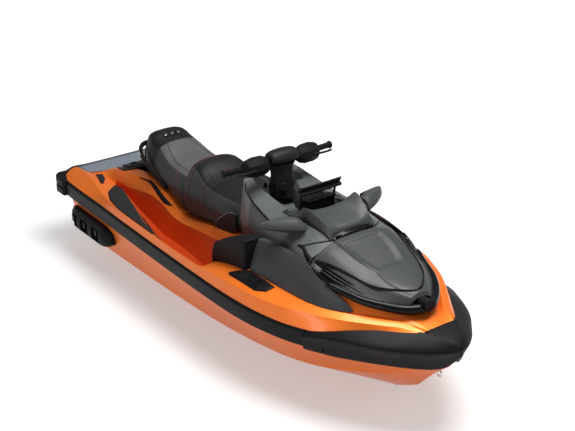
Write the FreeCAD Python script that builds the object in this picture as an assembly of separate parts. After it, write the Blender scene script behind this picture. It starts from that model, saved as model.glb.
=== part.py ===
import FreeCAD, Part
import math
import os

# Personal watercraft: a decked planing hull with a two-up saddle seat, handlebar steering and a jet pump.
# X runs to port, Y to the stern, Z up. Heights below are above the keel; write() lowers every piece by
# WATERLINE, so that the finished part has its origin amidships on the centreline at the level it floats to.

V = FreeCAD.Vector

# Overall size (mm)
LENGTH = 3450
BEAM = 1255
WATERLINE = 210

# Levels and walls (mm)
BOND = 430            # joint between the hull and the deck
RAIL_LOW = 385        # lower edge of the bumper rail
RAIL_HIGH = 484       # upper edge of the bumper rail
RAIL_DEPTH = 18       # how far the rail stands proud of the hull side
PLATFORM = 500        # boarding platform and the top of the seat pedestal
FOREDECK = 600        # flat top of the deck under the console and the hood
TUB_WALL = 12         # wall of the footwell tubs
BOND_GAP = 2          # clearance between a deck tub and the hull around it
SLEEVE_GAP = 0.1      # radial clearance of a sleeve clamped on the bar
RUN_GAP = 0.3         # radial clearance of a pin or a shaft in its bore
PAD_GAP = 0.5         # soft or trim piece above what carries it

# Steering (mm, degrees)
STEER_FOOT = (0, -175, 830)
STEER_LEAN = 11.5     # the column leans towards the rider
STEM_R = 24
STEM_DEPTH = 80       # how far the stem reaches into the console
BAR_R = 11
BAR_HALF = 400
BAR_Y = -165
BAR_Z = 1088
BAR_SWEEP = 45        # how far the grip ends lie aft of the middle
GRIP_R = 17
GRIP_LENGTH = 125

# Jet drive (mm); its stations are measured from the transom, where the running surface ends
PUMP_Z = 125
PUMP_FACE = -150      # front flange of the pump, on the tunnel's front wall
PUMP_R = 80
PUMP_WALL = 16
TIP_GAP = 1
SHAFT_R = 13
VENTURI_START = 10
VENTURI_END = 105
VENTURI_R = 42
VENTURI_WALL = 6
GATE_PIVOT = 20
GATE_R = 222
GATE_WALL = 6
GATE_HALF = 112
GATE_REST = 72        # the gate rests this many degrees above its lowered place
RING_PIVOT = 65
RING_IN = PUMP_R + 6
RING_OUT = PUMP_R + 14
NOZZLE_R = PUMP_R - 10
NOZZLE_PIVOT = 136
NOZZLE_END = 210
TUNNEL_HALF = 125
GATE_BAY_TOP = 360

# Engine and load spaces (mm)
ENGINE = dict(half=165, front=20, back=600, low=100, high=470)
BAY_HALF = 190
BIN_HALF = 200
BIN_FRONT = -1150
BIN_BACK = -430
BIN_LOW = 350
BIN_TOP = 790
BIN_WALL = 6

NOMINAL_LENGTH = 3450
NOMINAL_BEAM = 1255

# Sections of the hull and the deck, from the stern to the bow.
# y, keel z, chine x, chine z, side x, edge x, edge z, inner x, inner z, middle z
BODY = [
    (1690, 0, 470, 150, 512, 400, 512, 330, 500, 500),
    (1480, 0, 490, 150, 535, 404, 530, 330, 500, 500),
    (1100, 0, 505, 155, 547, 512, 532, 345, 505, 500),
    (815, 0, 509, 157, 563, 558, 533, 440, 510, 500),
    (580, 0, 511, 159, 575, 570, 534, 515, 515, 500),
    (310, 0, 512, 160, 587, 582, 536, 570, 520, 500),
    (-60, 0, 508, 163, 602, 597, 541, 580, 525, 500),
    (-400, 0, 490, 168, 609, 602, 560, 500, 600, 600),
    (-700, 0, 455, 178, 590, 585, 570, 450, 600, 600),
    (-860, 3, 425, 188, 557, 548, 572, 445, 600, 600),
    (-1030, 14, 372, 205, 497, 470, 578, 420, 600, 600),
    (-1120, 24, 335, 222, 458, 425, 580, 360, 600, 600),
    (-1250, 56, 275, 248, 380, 345, 582, 290, 600, 600),
    (-1416, 142, 180, 290, 262, 200, 582, 150, 595, 600),
    (-1500, 235, 125, 322, 195, 140, 580, 100, 590, 594),
    (-1562, 300, 80, 345, 145, 100, 576, 70, 584, 588),
    (-1640, 366, 20, 376, 52, 40, 568, 28, 572, 574),
]

# Footwell, one side: y, top outer x, floor outer x, floor inner x, top inner x, floor z
FOOTWELL = [
    (1330, 286, 282, 272, 268, 486),
    (1150, 318, 308, 292, 284, 455),
    (1000, 367, 350, 306, 288, 420),
    (668, 478, 446, 330, 302, 372),
    (407, 555, 505, 305, 272, 354),
    (200, 568, 512, 292, 258, 350),
    (-120, 574, 512, 285, 250, 356),
]

# Pedestal under the seats: y, foot x, top x, top z
PEDESTAL = [
    (1475, 250, 214, 526),
    (1400, 262, 226, 552),
    (1290, 282, 248, 576),
    (1180, 282, 238, 596),
    (1013, 276, 214, 610),
    (834, 284, 222, 612),
    (632, 290, 224, 522),
    (587, 284, 224, 503),
    (449, 270, 224, 511),
    (241, 254, 224, 556),
    (69, 246, 224, 575),
    (-62, 240, 216, 580),
]

# Bow guard: y, bottom x, bottom z, ridge x, ridge z, top z (its top edge lies on the deck's side)
GUARD = [
    (-1030, 505, 366, 527, 455, 480),
    (-1120, 462, 366, 500, 480, 500),
    (-1250, 389, 366, 442, 495, 540),
    (-1416, 272, 366, 362, 500, 566),
    (-1562, 152, 366, 240, 500, 572),
    (-1640, 60, 368, 168, 500, 566),
    (-1700, 24, 430, 88, 500, 545),
    (-1735, 6, 488, 14, 500, 512),
]

# Seats: y, base x, side x, side z, top x, top z
FRONT_SEAT = [
    (-55, 100, 150, 650, 90, 745),
    (60, 180, 215, 670, 130, 778),
    (330, 186, 232, 670, 160, 785),
    (430, 186, 236, 680, 145, 840),
    (510, 186, 236, 690, 122, 880),
    (560, 186, 234, 680, 108, 884),
    (590, 186, 232, 670, 105, 866),
]
REAR_SEAT = [
    (594, 186, 232, 650, 160, 792),
    (760, 180, 226, 660, 158, 790),
    (880, 174, 212, 680, 140, 832),
    (960, 168, 200, 690, 118, 882),
    (1040, 162, 190, 700, 100, 904),
    (1120, 155, 180, 705, 92, 888),
    (1172, 150, 172, 700, 88, 800),
]

# Console: y, base x, shoulder x, shoulder z, ridge x, ridge z, valley x, valley z
CONSOLE = [
    (-60, 212, 235, 720, 205, 965, 150, 840),
    (-130, 235, 262, 720, 235, 985, 165, 840),
    (-300, 270, 292, 725, 245, 950, 175, 830),
    (-416, 296, 320, 730, 250, 890, 180, 800),
    (-600, 320, 342, 735, 262, 820, 200, 790),
    (-835, 330, 345, 720, 268, 790, 210, 790),
]

# Hood: y, base x, shoulder x, shoulder z, top x, top z, middle z
HOOD = [
    (-846, 330, 345, 740, 240, 835, 866),
    (-987, 320, 330, 715, 225, 800, 838),
    (-1142, 275, 290, 690, 190, 755, 782),
    (-1290, 190, 205, 670, 130, 722, 745),
    (-1390, 90, 100, 655, 70, 700, 718),
]

# Storage lid (cowl): y, base x, base z, side x, side z, top x, top z
COWL = [
    (-830, 205, 800, 235, 850, 150, 884),
    (-770, 205, 800, 225, 890, 165, 930),
    (-640, 205, 800, 210, 925, 170, 985),
    (-500, 205, 800, 205, 915, 162, 1030),
    (-440, 205, 800, 200, 860, 158, 905),
]


def sy(y):
    """A station along the body, stretched with the overall length."""
    return y * LENGTH / NOMINAL_LENGTH


def sx(x):
    """A half-breadth of the body, stretched with the beam."""
    return x * BEAM / NOMINAL_BEAM


def aft(distance):
    """A station measured from the transom."""
    return sy(BODY[1][0]) + distance


def write(name, solid):
    shape = solid.copy()
    shape.translate(V(0, 0, -WATERLINE))
    shape.exportStep(os.path.join("parts", name + ".step"))
    print(name, len(shape.Solids), "solids", round(shape.Volume / 1e6, 3), "litres", "valid", shape.isValid())


def apart(*solids):
    """Like pieces that do not touch, kept as separate solids of one node."""
    return Part.makeCompound(list(solids))


def mirrored(shape):
    return shape.mirror(V(0, 0, 0), V(1, 0, 0))


def pair(shape):
    return apart(shape, mirrored(shape))


def ring(points, closed=True):
    wire = [V(*p) for p in points]
    if closed:
        wire.append(wire[0])
    return Part.makePolygon(wire)


def loft(wires):
    return Part.makeLoft(wires, True, True)


def half_section(y, half):
    """A closed symmetric outline across the body from its port half, listed from the middle or edge upwards."""
    port = [(sx(x), sy(y), z) for x, z in half]
    starboard = [(-x, yy, z) for x, yy, z in reversed(port) if x > 0]
    return ring(port + starboard)


def side_section(y, points):
    return ring([(sx(x), sy(y), z) for x, z in points])


def box(x0, x1, y0, y1, z0, z1):
    return Part.makeBox(x1 - x0, y1 - y0, z1 - z0, V(x0, y0, z0))


def rod(start, end, radius):
    a, b = V(*start), V(*end)
    return Part.makeCylinder(radius, (b - a).Length, a, b - a)


def disc(y0, y1, radius, z=PUMP_Z, x=0):
    return Part.makeCylinder(radius, y1 - y0, V(x, y0, z), V(0, 1, 0))


def cone(y0, y1, r0, r1, z=PUMP_Z):
    return Part.makeCone(r0, r1, y1 - y0, V(0, y0, z), V(0, 1, 0))


def profile_prism(points, x0, x1):
    """A side profile of (y, z) points, carried from x0 to x1."""
    face = Part.Face(ring([(x0, y, z) for y, z in points]))
    return face.extrude(V(x1 - x0, 0, 0))


def plan_prism(points, z0, z1):
    face = Part.Face(ring([(x, y, z0) for x, y in points]))
    return face.extrude(V(0, 0, z1 - z0))


def row_at(table, y):
    """The row of a section table at a station between two of its rows."""
    for fore, aft in zip(table[1:], table[:-1]):
        if fore[0] <= y <= aft[0]:
            t = (y - fore[0]) / (aft[0] - fore[0])
            return tuple(f + t * (a - f) for f, a in zip(fore, aft))
    raise ValueError(y)


def stations(table, back, front):
    inner = [row for row in table if front < row[0] < back]
    return [row_at(table, back)] + inner + [row_at(table, front)]


def side_x(row, z):
    """Half-breadth of the hull's side between the chine and the rail."""
    t = (z - row[3]) / (RAIL_LOW - row[3])
    return row[2] + t * (row[4] - row[2])


def deck_side_x(row, z):
    t = (z - RAIL_HIGH) / (row[6] - RAIL_HIGH)
    return row[4] + t * (row[5] - row[4])


def footwell(grow=0):
    wires = []
    for i, (y, top_out, low_out, low_in, top_in, floor) in enumerate(FOOTWELL):
        end = grow if i == 0 else (-grow if i == len(FOOTWELL) - 1 else 0)
        wires.append(ring([
            (sx(top_out) + grow, sy(y) + end, 900),
            (sx(top_out) + grow, sy(y) + end, PLATFORM),
            (sx(low_out) + grow, sy(y) + end, floor - grow),
            (sx(low_in) - grow, sy(y) + end, floor - grow),
            (sx(top_in) - grow, sy(y) + end, PLATFORM),
            (sx(top_in) - grow, sy(y) + end, 900)]))
    return loft(wires)


# --- Hull and deck -------------------------------------------------------------------------------------------

def hull_loft(grow=0):
    return loft([half_section(y, [(0, keel - grow), (cx + grow, cz),
                                  (side + grow, RAIL_LOW), (side + grow, BOND)])
                 for y, keel, cx, cz, side, ex, ez, ix, iz, mz in BODY[1:]])


def deck_loft(grow=0):
    return loft([half_section(y, [(side + grow, BOND), (side + grow, RAIL_HIGH), (ex + grow, ez + grow),
                                  (ix, iz + grow), (0, mz + grow)])
                 for y, keel, cx, cz, side, ex, ez, ix, iz, mz in BODY])


def console_loft(grow=0):
    return loft([half_section(y, [(bx + grow, PLATFORM), (shx + grow, shz), (rx, rz), (vx, vz)])
                 for y, bx, shx, shz, rx, rz, vx, vz in CONSOLE])


def pedestal_loft(grow=0):
    return loft([half_section(y, [(foot + grow, PLATFORM - 20), (top + grow, top_z + grow)])
                 for y, foot, top, top_z in PEDESTAL])


hull_body = hull_loft()
deck_body = deck_loft()

well = footwell()
tub = footwell(TUB_WALL).common(box(0, 700, -2000, 2000, 0, BOND))
tub_room = footwell(TUB_WALL + BOND_GAP).common(box(0, 700, -2000, 2000, 0, BOND))

bin_back = sy(BIN_BACK)
bin_front = sy(BIN_FRONT)
bin_room = box(-BIN_HALF - BOND_GAP, BIN_HALF + BOND_GAP, bin_front - BOND_GAP, bin_back + BOND_GAP,
               BIN_LOW, BIN_TOP + 60)
engine_front = sy(ENGINE["front"])
engine_back = sy(ENGINE["back"])
engine_bay = box(-BAY_HALF, BAY_HALF, sy(-330), engine_back + 40, ENGINE["low"], BOND)
engine_head = box(-ENGINE["half"] - 8, ENGINE["half"] + 8, engine_front - 40, engine_back + 30,
                  BOND, ENGINE["high"] + 8)

tunnel = box(-TUNNEL_HALF, TUNNEL_HALF, aft(PUMP_FACE), aft(320), -20, PUMP_Z + PUMP_R + PUMP_WALL + 9)
gate_bay = box(-TUNNEL_HALF, TUNNEL_HALF, aft(-80), aft(320), 0, GATE_BAY_TOP)
intake_front = aft(PUMP_FACE - 570)
intake_back = aft(PUMP_FACE - 180)
intake_top = PUMP_Z + PUMP_R - 2
intake_ramp = profile_prism([(intake_front, -20), (intake_back, -20), (intake_back, intake_top),
                             (intake_back - 40, intake_top)], -PUMP_R, PUMP_R)
intake_bore = disc(intake_back - 60, aft(PUMP_FACE) + 1, PUMP_R)
shaft_bore = disc(engine_back + 30, intake_back + 10, SHAFT_R + 7)

hull = hull_body
for cut in (tub_room, mirrored(tub_room), bin_room, engine_bay, tunnel, gate_bay, intake_ramp, intake_bore,
            shaft_bore):
    hull = hull.cut(cut)

console_body = console_loft()

# Kick pads close the front of the footwells: a block on each side, sloping up and forward.
KICK = [(-100, 470), (-100, 600), (-128, 668), (-325, 762), (-440, 790), (-440, 560), (-300, 470)]
kick_pad = profile_prism([(sy(y), z) for y, z in KICK], sx(345), sx(480))

# Side vents, set into the top of the gunwale
VENT = [(-365, 535), (-365, 577), (-420, 606), (-700, 624), (-745, 598), (-600, 540)]
vent_block = profile_prism([(sy(y), z) for y, z in VENT], sx(508), sx(584))
vent_slots = [box(sx(555), sx(600), sy(y), sy(y) + 75, z, z + 12) for y in (-660, -560) for z in (574, 594)]
side_vent = vent_block
for slot in vent_slots:
    side_vent = side_vent.cut(slot)

pedestal = pedestal_loft()
deck = deck_body.fuse(tub).fuse(mirrored(tub)).fuse(pedestal)
for cut in (well, mirrored(well), bin_room, engine_head, console_loft(PAD_GAP), kick_pad, mirrored(kick_pad),
            vent_block, mirrored(vent_block)):
    deck = deck.cut(cut)

# --- Rails, bow guard and bumpers ----------------------------------------------------------------------------

RAIL_BACK = 1640
RAIL_FRONT = -1030
side_rail = loft([ring([(sx(row[4]), sy(row[0]), RAIL_LOW),
                        (sx(row[4]) + RAIL_DEPTH, sy(row[0]), RAIL_LOW + 8),
                        (sx(row[4]) + RAIL_DEPTH, sy(row[0]), RAIL_HIGH - 10),
                        (sx(row[4]), sy(row[0]), RAIL_HIGH)])
                  for row in stations(BODY, RAIL_BACK, RAIL_FRONT)])

guard_wires = []
for y, low_x, low_z, ridge_x, ridge_z, top_z in GUARD:
    body = row_at(BODY, max(y, BODY[-1][0]))
    top_x = deck_side_x(body, top_z) if y >= BODY[-1][0] else ridge_x * 0.6
    guard_wires.append(half_section(y, [(low_x, low_z), (ridge_x, ridge_z), (top_x, top_z)]))
bow_guard = loft(guard_wires).cut(hull_loft(PAD_GAP)).cut(deck_loft(PAD_GAP))

corner_body = plan_prism([(sx(380), sy(1690)), (sx(440), sy(1712)), (sx(520), sy(1705)), (sx(556), sy(1645)),
                          (sx(552), sy(1560)), (sx(500), sy(1560))], RAIL_LOW - 5, RAIL_HIGH + 12)
corner_bumper = corner_body.cut(hull_loft(PAD_GAP)).cut(deck_loft(PAD_GAP)).cut(side_rail)

# --- Grey side panels, console, hood and lid -----------------------------------------------------------------

# y, low x, high x, high z, inner x
PANEL = [
    (-455, 468, 392, 775, 340),
    (-680, 446, 362, 800, 352),
    (-900, 438, 350, 770, 352),
    (-1020, 414, 336, 705, 328),
    (-1185, 315, 300, 630, 296),
]
side_panel = loft([side_section(y, [(low, FOREDECK), (high, high_z), (inner, high_z), (inner, FOREDECK)])
                   for y, low, high, high_z, inner in PANEL])

steer_axis = V(0, math.sin(math.radians(STEER_LEAN)), math.cos(math.radians(STEER_LEAN)))
steer_foot = V(*STEER_FOOT)
stem_bottom = steer_foot - steer_axis * STEM_DEPTH
stem_bore = Part.makeCylinder(STEM_R + RUN_GAP, 200, stem_bottom, steer_axis)

lid_room = box(-212, 212, sy(-850), sy(-425), 790, 1100)
console = console_body.cut(bin_room).cut(stem_bore).cut(lid_room)

hood_body = loft([half_section(y, [(bx, FOREDECK), (shx, shz), (tx, tz), (0, mz)])
                  for y, bx, shx, shz, tx, tz, mz in HOOD])
hood_room = box(-BIN_HALF - BOND_GAP, BIN_HALF + BOND_GAP, bin_front - BOND_GAP, sy(-839), FOREDECK - 1, 690)
hood = hood_body.cut(hood_room)

bin_inner = box(-BIN_HALF + BIN_WALL, BIN_HALF - BIN_WALL, bin_front + BIN_WALL, bin_back - BIN_WALL,
                BIN_LOW + BIN_WALL, 900)
bin_high = box(-BIN_HALF, BIN_HALF, sy(-835), bin_back, BIN_LOW, BIN_TOP)
bin_low = box(-BIN_HALF, BIN_HALF, bin_front, sy(-835), BIN_LOW, 685)
storage_bin = bin_high.fuse(bin_low).cut(bin_inner)

hood_trim = loft([side_section(y, [(bx + 1, FOREDECK), (bx + 23, FOREDECK),
                                   (shx + 12, shz - 16), (shx, shz - 18)])
                  for y, bx, shx, shz, tx, tz, mz in stations(HOOD, -1100, -1390)])
nose_badge = rod((0, sy(-1390), 672), (0, sy(-1442), 672), 34)

cowl_body = loft([half_section(y, [(bx, bz), (sdx, sdz), (tx, tz)])
                  for y, bx, bz, sdx, sdz, tx, tz in COWL])
WELL_FLOOR = 880
gauge_well = box(-125, 125, sy(-640), sy(-455), WELL_FLOOR, 1100)

# The lid turns on a bracket and pin each side, behind the hood's rear edge.
HINGE = dict(y=-832, z=868, x=110, width=14, pin=5)
hinge_y = sy(HINGE["y"])
hinge_end = HINGE["x"] + HINGE["width"]
hinge_plate = box(HINGE["x"], hinge_end, sy(HOOD[0][0]), hinge_y + 8, BIN_TOP - 10, HINGE["z"] - 3)
hinge_plate = hinge_plate.fuse(rod((HINGE["x"], hinge_y, HINGE["z"]), (hinge_end, hinge_y, HINGE["z"]), 8))
hinge_pin = rod((HINGE["x"] - 18, hinge_y, HINGE["z"]), (hinge_end + 18, hinge_y, HINGE["z"]), HINGE["pin"])
lid_hinge = hinge_plate.fuse(hinge_pin)
hinge_bore = rod((HINGE["x"] - 19, hinge_y, HINGE["z"]), (hinge_end + 19, hinge_y, HINGE["z"]),
                 HINGE["pin"] + RUN_GAP)
hinge_notch = box(HINGE["x"] - 5, hinge_end + 5, hinge_y - 30, hinge_y + 24, 790, 950)
cowl = cowl_body.cut(gauge_well)
for cut in (hinge_bore, hinge_notch):
    cowl = cowl.cut(cut).cut(mirrored(cut))
deflector = profile_prism([(sy(-560), WELL_FLOOR), (sy(-545), WELL_FLOOR), (sy(-530), 1072), (sy(-545), 1078)],
                          -124, 124)
gauge = box(-90, 90, sy(-520), sy(-470), WELL_FLOOR, 945)

# Mirrors: x, front y, rear y, low z, high z from the stalk to the tip
MIRROR = [(215, -720, -640, 862, 905), (250, -715, -570, 868, 952), (380, -660, -545, 880, 948),
          (454, -560, -530, 905, 925)]
mirror_body = loft([ring([(sx(x), sy(y0), z0), (sx(x), sy(y1), z0), (sx(x), sy(y1), z1), (sx(x), sy(y0), z1)])
                    for x, y0, y1, z0, z1 in MIRROR])
mirror = mirror_body.cut(cowl_body)
mirror_face = mirror.common(box(sx(268), sx(372), sy(-575), sy(-500), 886, 936))
glass_plate = mirror_face.cut(mirror_face.translated(V(0, -4, 0)))
mirror = mirror.cut(glass_plate)

# --- Handlebar -----------------------------------------------------------------------------------------------

bar_mid = (0, BAR_Y, BAR_Z)
bar_elbow = (110, BAR_Y, BAR_Z)
bar_end = (BAR_HALF, BAR_Y + BAR_SWEEP, BAR_Z - 15)
half_bar = rod(bar_mid, bar_elbow, BAR_R).fuse(rod(bar_elbow, bar_end, BAR_R))
half_bar = half_bar.fuse(Part.makeSphere(BAR_R, V(*bar_elbow)))
bar = half_bar.fuse(mirrored(half_bar))
bar_sleeve = rod(bar_mid, bar_elbow, BAR_R + SLEEVE_GAP).fuse(rod(bar_elbow, bar_end, BAR_R + SLEEVE_GAP))
bar_sleeve = bar_sleeve.fuse(Part.makeSphere(BAR_R + SLEEVE_GAP, V(*bar_elbow)))
bar_sleeve = bar_sleeve.fuse(mirrored(bar_sleeve))
bar_run = V(*bar_end) - V(*bar_elbow)
bar_dir = bar_run * (1 / bar_run.Length)


def along_bar(distance):
    """A point on the bar, measured inboard from its end."""
    return V(*bar_end) - bar_dir * distance


grip = Part.makeCylinder(GRIP_R, GRIP_LENGTH, along_bar(GRIP_LENGTH), bar_dir).cut(bar_sleeve)
housing_at = along_bar(GRIP_LENGTH + 46)
housing = Part.makeBox(76, 84, 72, V(housing_at.x - 38, housing_at.y - 48, housing_at.z - 34)).cut(bar_sleeve)
lever_root = V(housing_at.x - 10, housing_at.y - 66, housing_at.z)
lever = rod(tuple(lever_root), (BAR_HALF - 50, BAR_Y - 38, BAR_Z - 8), 6)
lever_lug = rod((lever_root.x, housing_at.y - 48, lever_root.z),
                (lever_root.x, lever_root.y - 4, lever_root.z), 9)
lever = lever.fuse(lever_lug)
stem_top = steer_foot + steer_axis * (BAR_Z - 30 - STEER_FOOT[2])
stem = Part.makeCylinder(STEM_R, (stem_top - stem_bottom).Length - 1, stem_bottom + steer_axis, steer_axis)
clamp = box(-45, 45, BAR_Y - 28, BAR_Y + 28, BAR_Z - 42, BAR_Z + 18)
stem = stem.fuse(clamp).cut(bar_sleeve)
cover_body = loft([ring([(-w, y0, z), (w, y0, z), (w, y1, z), (-w, y1, z)])
                   for z, w, y0, y1 in ((854, 70, -235, -110), (930, 82, -262, -98), (1022, 62, -232, -112))])
stem_sleeve = Part.makeCylinder(STEM_R + SLEEVE_GAP, 400, stem_bottom, steer_axis)
column_cover = cover_body.cut(stem_sleeve)
bar_pad = loft([ring([(-w, BAR_Y + y0, z), (w, BAR_Y + y0, z), (w, BAR_Y + y1, z), (-w, BAR_Y + y1, z)])
                for z, w, y0, y1 in ((BAR_Z + 18, 62, -44, 56), (BAR_Z + 36, 76, -52, 66),
                                      (BAR_Z + 54, 54, -32, 46))])

# --- Seats, grab handle and mats -----------------------------------------------------------------------------


def seat(table):
    return loft([half_section(y, [(bx, PLATFORM + PAD_GAP), (sdx, sdz), (tx, tz)])
                 for y, bx, sdx, sdz, tx, tz in table])


pedestal_room = pedestal_loft(PAD_GAP)
deck_room = deck_loft(PAD_GAP)
seat_front = seat(FRONT_SEAT).cut(console_body).cut(pedestal_room).cut(deck_room)
seat_rear = seat(REAR_SEAT).cut(pedestal_room).cut(deck_room)
seat_back = profile_prism([(sy(1173), PLATFORM), (sy(1250), PLATFORM), (sy(1214), 700), (sy(1190), 790),
                           (sy(1173), 790)], -sx(120), sx(120)).cut(pedestal_room).cut(deck_room).cut(seat_rear)
# The grab handle runs from the seat's side up and around behind its back:
# outer x and y, inner x and y, middle z
HANDLE = [
    (225, 800, 203, 792, 640),
    (233, 950, 211, 944, 684),
    (215, 1080, 194, 1070, 724),
    (174, 1184, 158, 1166, 758),
    (104, 1244, 96, 1220, 768),
    (0, 1244, 0, 1220, 768),
]
grab_handle = loft([ring([(sx(ox), sy(oy), z - 19), (sx(ox), sy(oy), z + 19), (sx(ix), sy(iy), z + 19),
                          (sx(ix), sy(iy), z - 19)]) for ox, oy, ix, iy, z in HANDLE[:-1]])
grab_middle = box(-sx(104), sx(104), sy(HANDLE[-1][3]), sy(HANDLE[-1][1]),
                  HANDLE[-1][4] - 19, HANDLE[-1][4] + 19)
grab_handle = grab_handle.fuse(mirrored(grab_handle)).fuse(grab_middle)
grab_handle = grab_handle.cut(seat_back).cut(seat_rear.translated(V(RUN_GAP, 0, 0))).cut(
    seat_rear.translated(V(-RUN_GAP, 0, 0))).cut(pedestal_room)
HATCH = [(176, 1252), (232, 1290), (210, 1400), (196, 1462)]
rear_hatch = plan_prism([(sx(x), sy(y)) for x, y in HATCH] + [(-sx(x), sy(y)) for x, y in reversed(HATCH)],
                        505, 620)
rear_hatch = rear_hatch.common(pedestal_loft(9)).cut(pedestal_room).cut(seat_back)

MAT = [(380, 1684), (376, 1660), (366, 1566), (252, 1518), (240, 1480)]
rear_mat = plan_prism([(-sx(x), sy(y)) for x, y in MAT] + [(sx(x), sy(y)) for x, y in reversed(MAT)],
                      PLATFORM, PLATFORM + 10)
rear_mat = rear_mat.cut(deck_room).cut(pedestal_room)
mat_rows = [row for row in FOOTWELL if row[0] <= 1000]
foot_mat = loft([side_section(y, [(lo - 8, f + PAD_GAP), (li + 8, f + PAD_GAP),
                                  (li + 8, f + 9), (lo - 8, f + 9)])
                 for y, to, lo, li, ti, f in mat_rows[:-1] + [row_at(FOOTWELL, -110)]])

# Pads on the wide top of the rear gunwale: a long wedge beside the footwell and a small pad behind it
WEDGE = [(303, 1252), (431, 1185), (520, 860), (566, 610), (575, 420), (562, 430), (494, 668), (380, 1000)]
CORNER = [(366, 1462), (414, 1283), (376, 1312), (305, 1440)]
pad_skin = deck_loft(8).cut(deck_loft(PAD_GAP))
gunwale_pads = [plan_prism([(sx(x), sy(y)) for x, y in outline], 495, 560).common(pad_skin)
                for outline in (WEDGE, CORNER)]

# --- Fittings of the hull ------------------------------------------------------------------------------------

sponson_wires = []
for y, thick, low, high in ((1455, 30, 245, 335), (1390, 46, 208, 345),
                            (1010, 50, 205, 345), (930, 20, 235, 300)):
    row = row_at(BODY, y)
    sponson_wires.append(ring([(sx(side_x(row, low)) - 30, sy(y), low),
                               (sx(side_x(row, high)) - 30, sy(y), high),
                               (sx(side_x(row, high)) + thick * 0.7, sy(y), high - 12),
                               (sx(side_x(row, low)) + thick, sy(y), low + 24)]))
sponson = loft(sponson_wires).cut(hull_loft(PAD_GAP))

bow_eye = Part.makeTorus(17, 5, V(0, sy(-1562) - 12, 294), V(1, 0, 0)).cut(hull_body)
stern_eye = Part.makeTorus(20, 5, V(sx(470), aft(12), 330), V(1, 0, 0)).cut(hull_body)
SOCKET = dict(x=100, y=1370, r=28, bore=19, top=574, depth=52, floor=6)
socket_x = sx(SOCKET["x"])
socket_y = sy(SOCKET["y"])
socket_low = SOCKET["top"] - SOCKET["depth"]
socket_room = rod((socket_x, socket_y, socket_low - SOCKET["floor"]), (socket_x, socket_y, 620), SOCKET["r"])
socket_cup = rod((socket_x, socket_y, socket_low - SOCKET["floor"]),
                 (socket_x, socket_y, SOCKET["top"]), SOCKET["r"])
socket_bore = rod((socket_x, socket_y, socket_low), (socket_x, socket_y, 620), SOCKET["bore"])
socket = socket_cup.cut(socket_bore)
deck = deck.cut(socket_room).cut(mirrored(socket_room))
rear_hatch = rear_hatch.cut(socket_room).cut(mirrored(socket_room))

keel_row = row_at(BODY, BODY[1][0])
plate_rise = TUNNEL_HALF * keel_row[3] / sx(keel_row[2])
plate_y = aft(PUMP_FACE)
ride_plate = Part.Face(ring([(0, plate_y, 0), (TUNNEL_HALF, plate_y, plate_rise),
                             (TUNNEL_HALF, plate_y, plate_rise + 9),
                             (0, plate_y, 9), (-TUNNEL_HALF, plate_y, plate_rise + 9),
                             (-TUNNEL_HALF, plate_y, plate_rise)]))
ride_plate = ride_plate.extrude(V(0, 190, 0))

grate = box(-PUMP_R, PUMP_R, intake_back - 15, intake_back - 0.3, 12, 26)
grate = grate.fuse(box(-PUMP_R, PUMP_R, intake_front + 55, intake_front + 70, 14, 24))
for x in (-52, -26, 0, 26, 52):
    grate = grate.fuse(box(x - 4, x + 4, intake_front - 5, intake_back + 1, 14, 24))
grate = grate.cut(hull)

engine = box(-ENGINE["half"], ENGINE["half"], engine_front, engine_back, ENGINE["low"], ENGINE["high"])
engine = engine.cut(disc(engine_back - 60, engine_back + 1, SHAFT_R + RUN_GAP))

# --- Jet pump ------------------------------------------------------------------------------------------------

pump_face = aft(PUMP_FACE)
pump_outer = disc(pump_face, aft(VENTURI_START), PUMP_R + PUMP_WALL)
pump_outer = pump_outer.fuse(cone(aft(VENTURI_START), aft(VENTURI_END),
                                  PUMP_R + PUMP_WALL, VENTURI_R + VENTURI_WALL))
pump_inner = disc(pump_face - 1, aft(VENTURI_START), PUMP_R + TIP_GAP)
pump_inner = pump_inner.fuse(cone(aft(VENTURI_START), aft(VENTURI_END) + 0.5, PUMP_R + TIP_GAP, VENTURI_R))
pump_housing = pump_outer.cut(pump_inner)
stator_hub = disc(pump_face + 104, pump_face + 150, 34).fuse(cone(pump_face + 150, pump_face + 230, 34, 8))
pump_housing = pump_housing.fuse(stator_hub)
for k in range(6):
    vane = box(-3, 3, pump_face + 108, pump_face + 148, PUMP_Z + 30, PUMP_Z + PUMP_R + 6)
    pump_housing = pump_housing.fuse(vane.rotated(V(0, 0, PUMP_Z), V(0, 1, 0), 60 * k))
pump_housing = pump_housing.cut(disc(pump_face + 103, pump_face + 142, SHAFT_R + RUN_GAP))
gate_y = aft(GATE_PIVOT)
ring_y = aft(RING_PIVOT)
gate_pin = rod((PUMP_R + 6, gate_y, PUMP_Z), (GATE_HALF + 6, gate_y, PUMP_Z), 8).cut(pump_inner)
ring_boss = rod((PUMP_R - 30, ring_y, PUMP_Z), (PUMP_R, ring_y, PUMP_Z), 12).cut(pump_inner)
for piece in (gate_pin, ring_boss):
    pump_housing = pump_housing.fuse(piece).fuse(mirrored(piece))
ring_bore = rod((PUMP_R - 14, ring_y, PUMP_Z), (PUMP_R + 10, ring_y, PUMP_Z), 6 + RUN_GAP)
pump_housing = pump_housing.cut(ring_bore).cut(mirrored(ring_bore))


def blade_edge(y):
    return ring([(-4, y, PUMP_Z + 28), (4, y, PUMP_Z + 28),
                 (4, y, PUMP_Z + PUMP_R - 1), (-4, y, PUMP_Z + PUMP_R - 1)])


shaft = disc(engine_back - 55, pump_face + 138, SHAFT_R)
impeller = shaft.fuse(disc(pump_face + 15, pump_face + 96, 32))
aft_edge = blade_edge(pump_face + 94)
aft_edge.rotate(V(0, 0, PUMP_Z), V(0, 1, 0), 38)
blade = loft([blade_edge(pump_face + 20), aft_edge]).common(disc(pump_face + 10, pump_face + 100, PUMP_R - 0.5))
for k in range(4):
    impeller = impeller.fuse(blade.rotated(V(0, 0, PUMP_Z), V(0, 1, 0), 90 * k))

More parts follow.
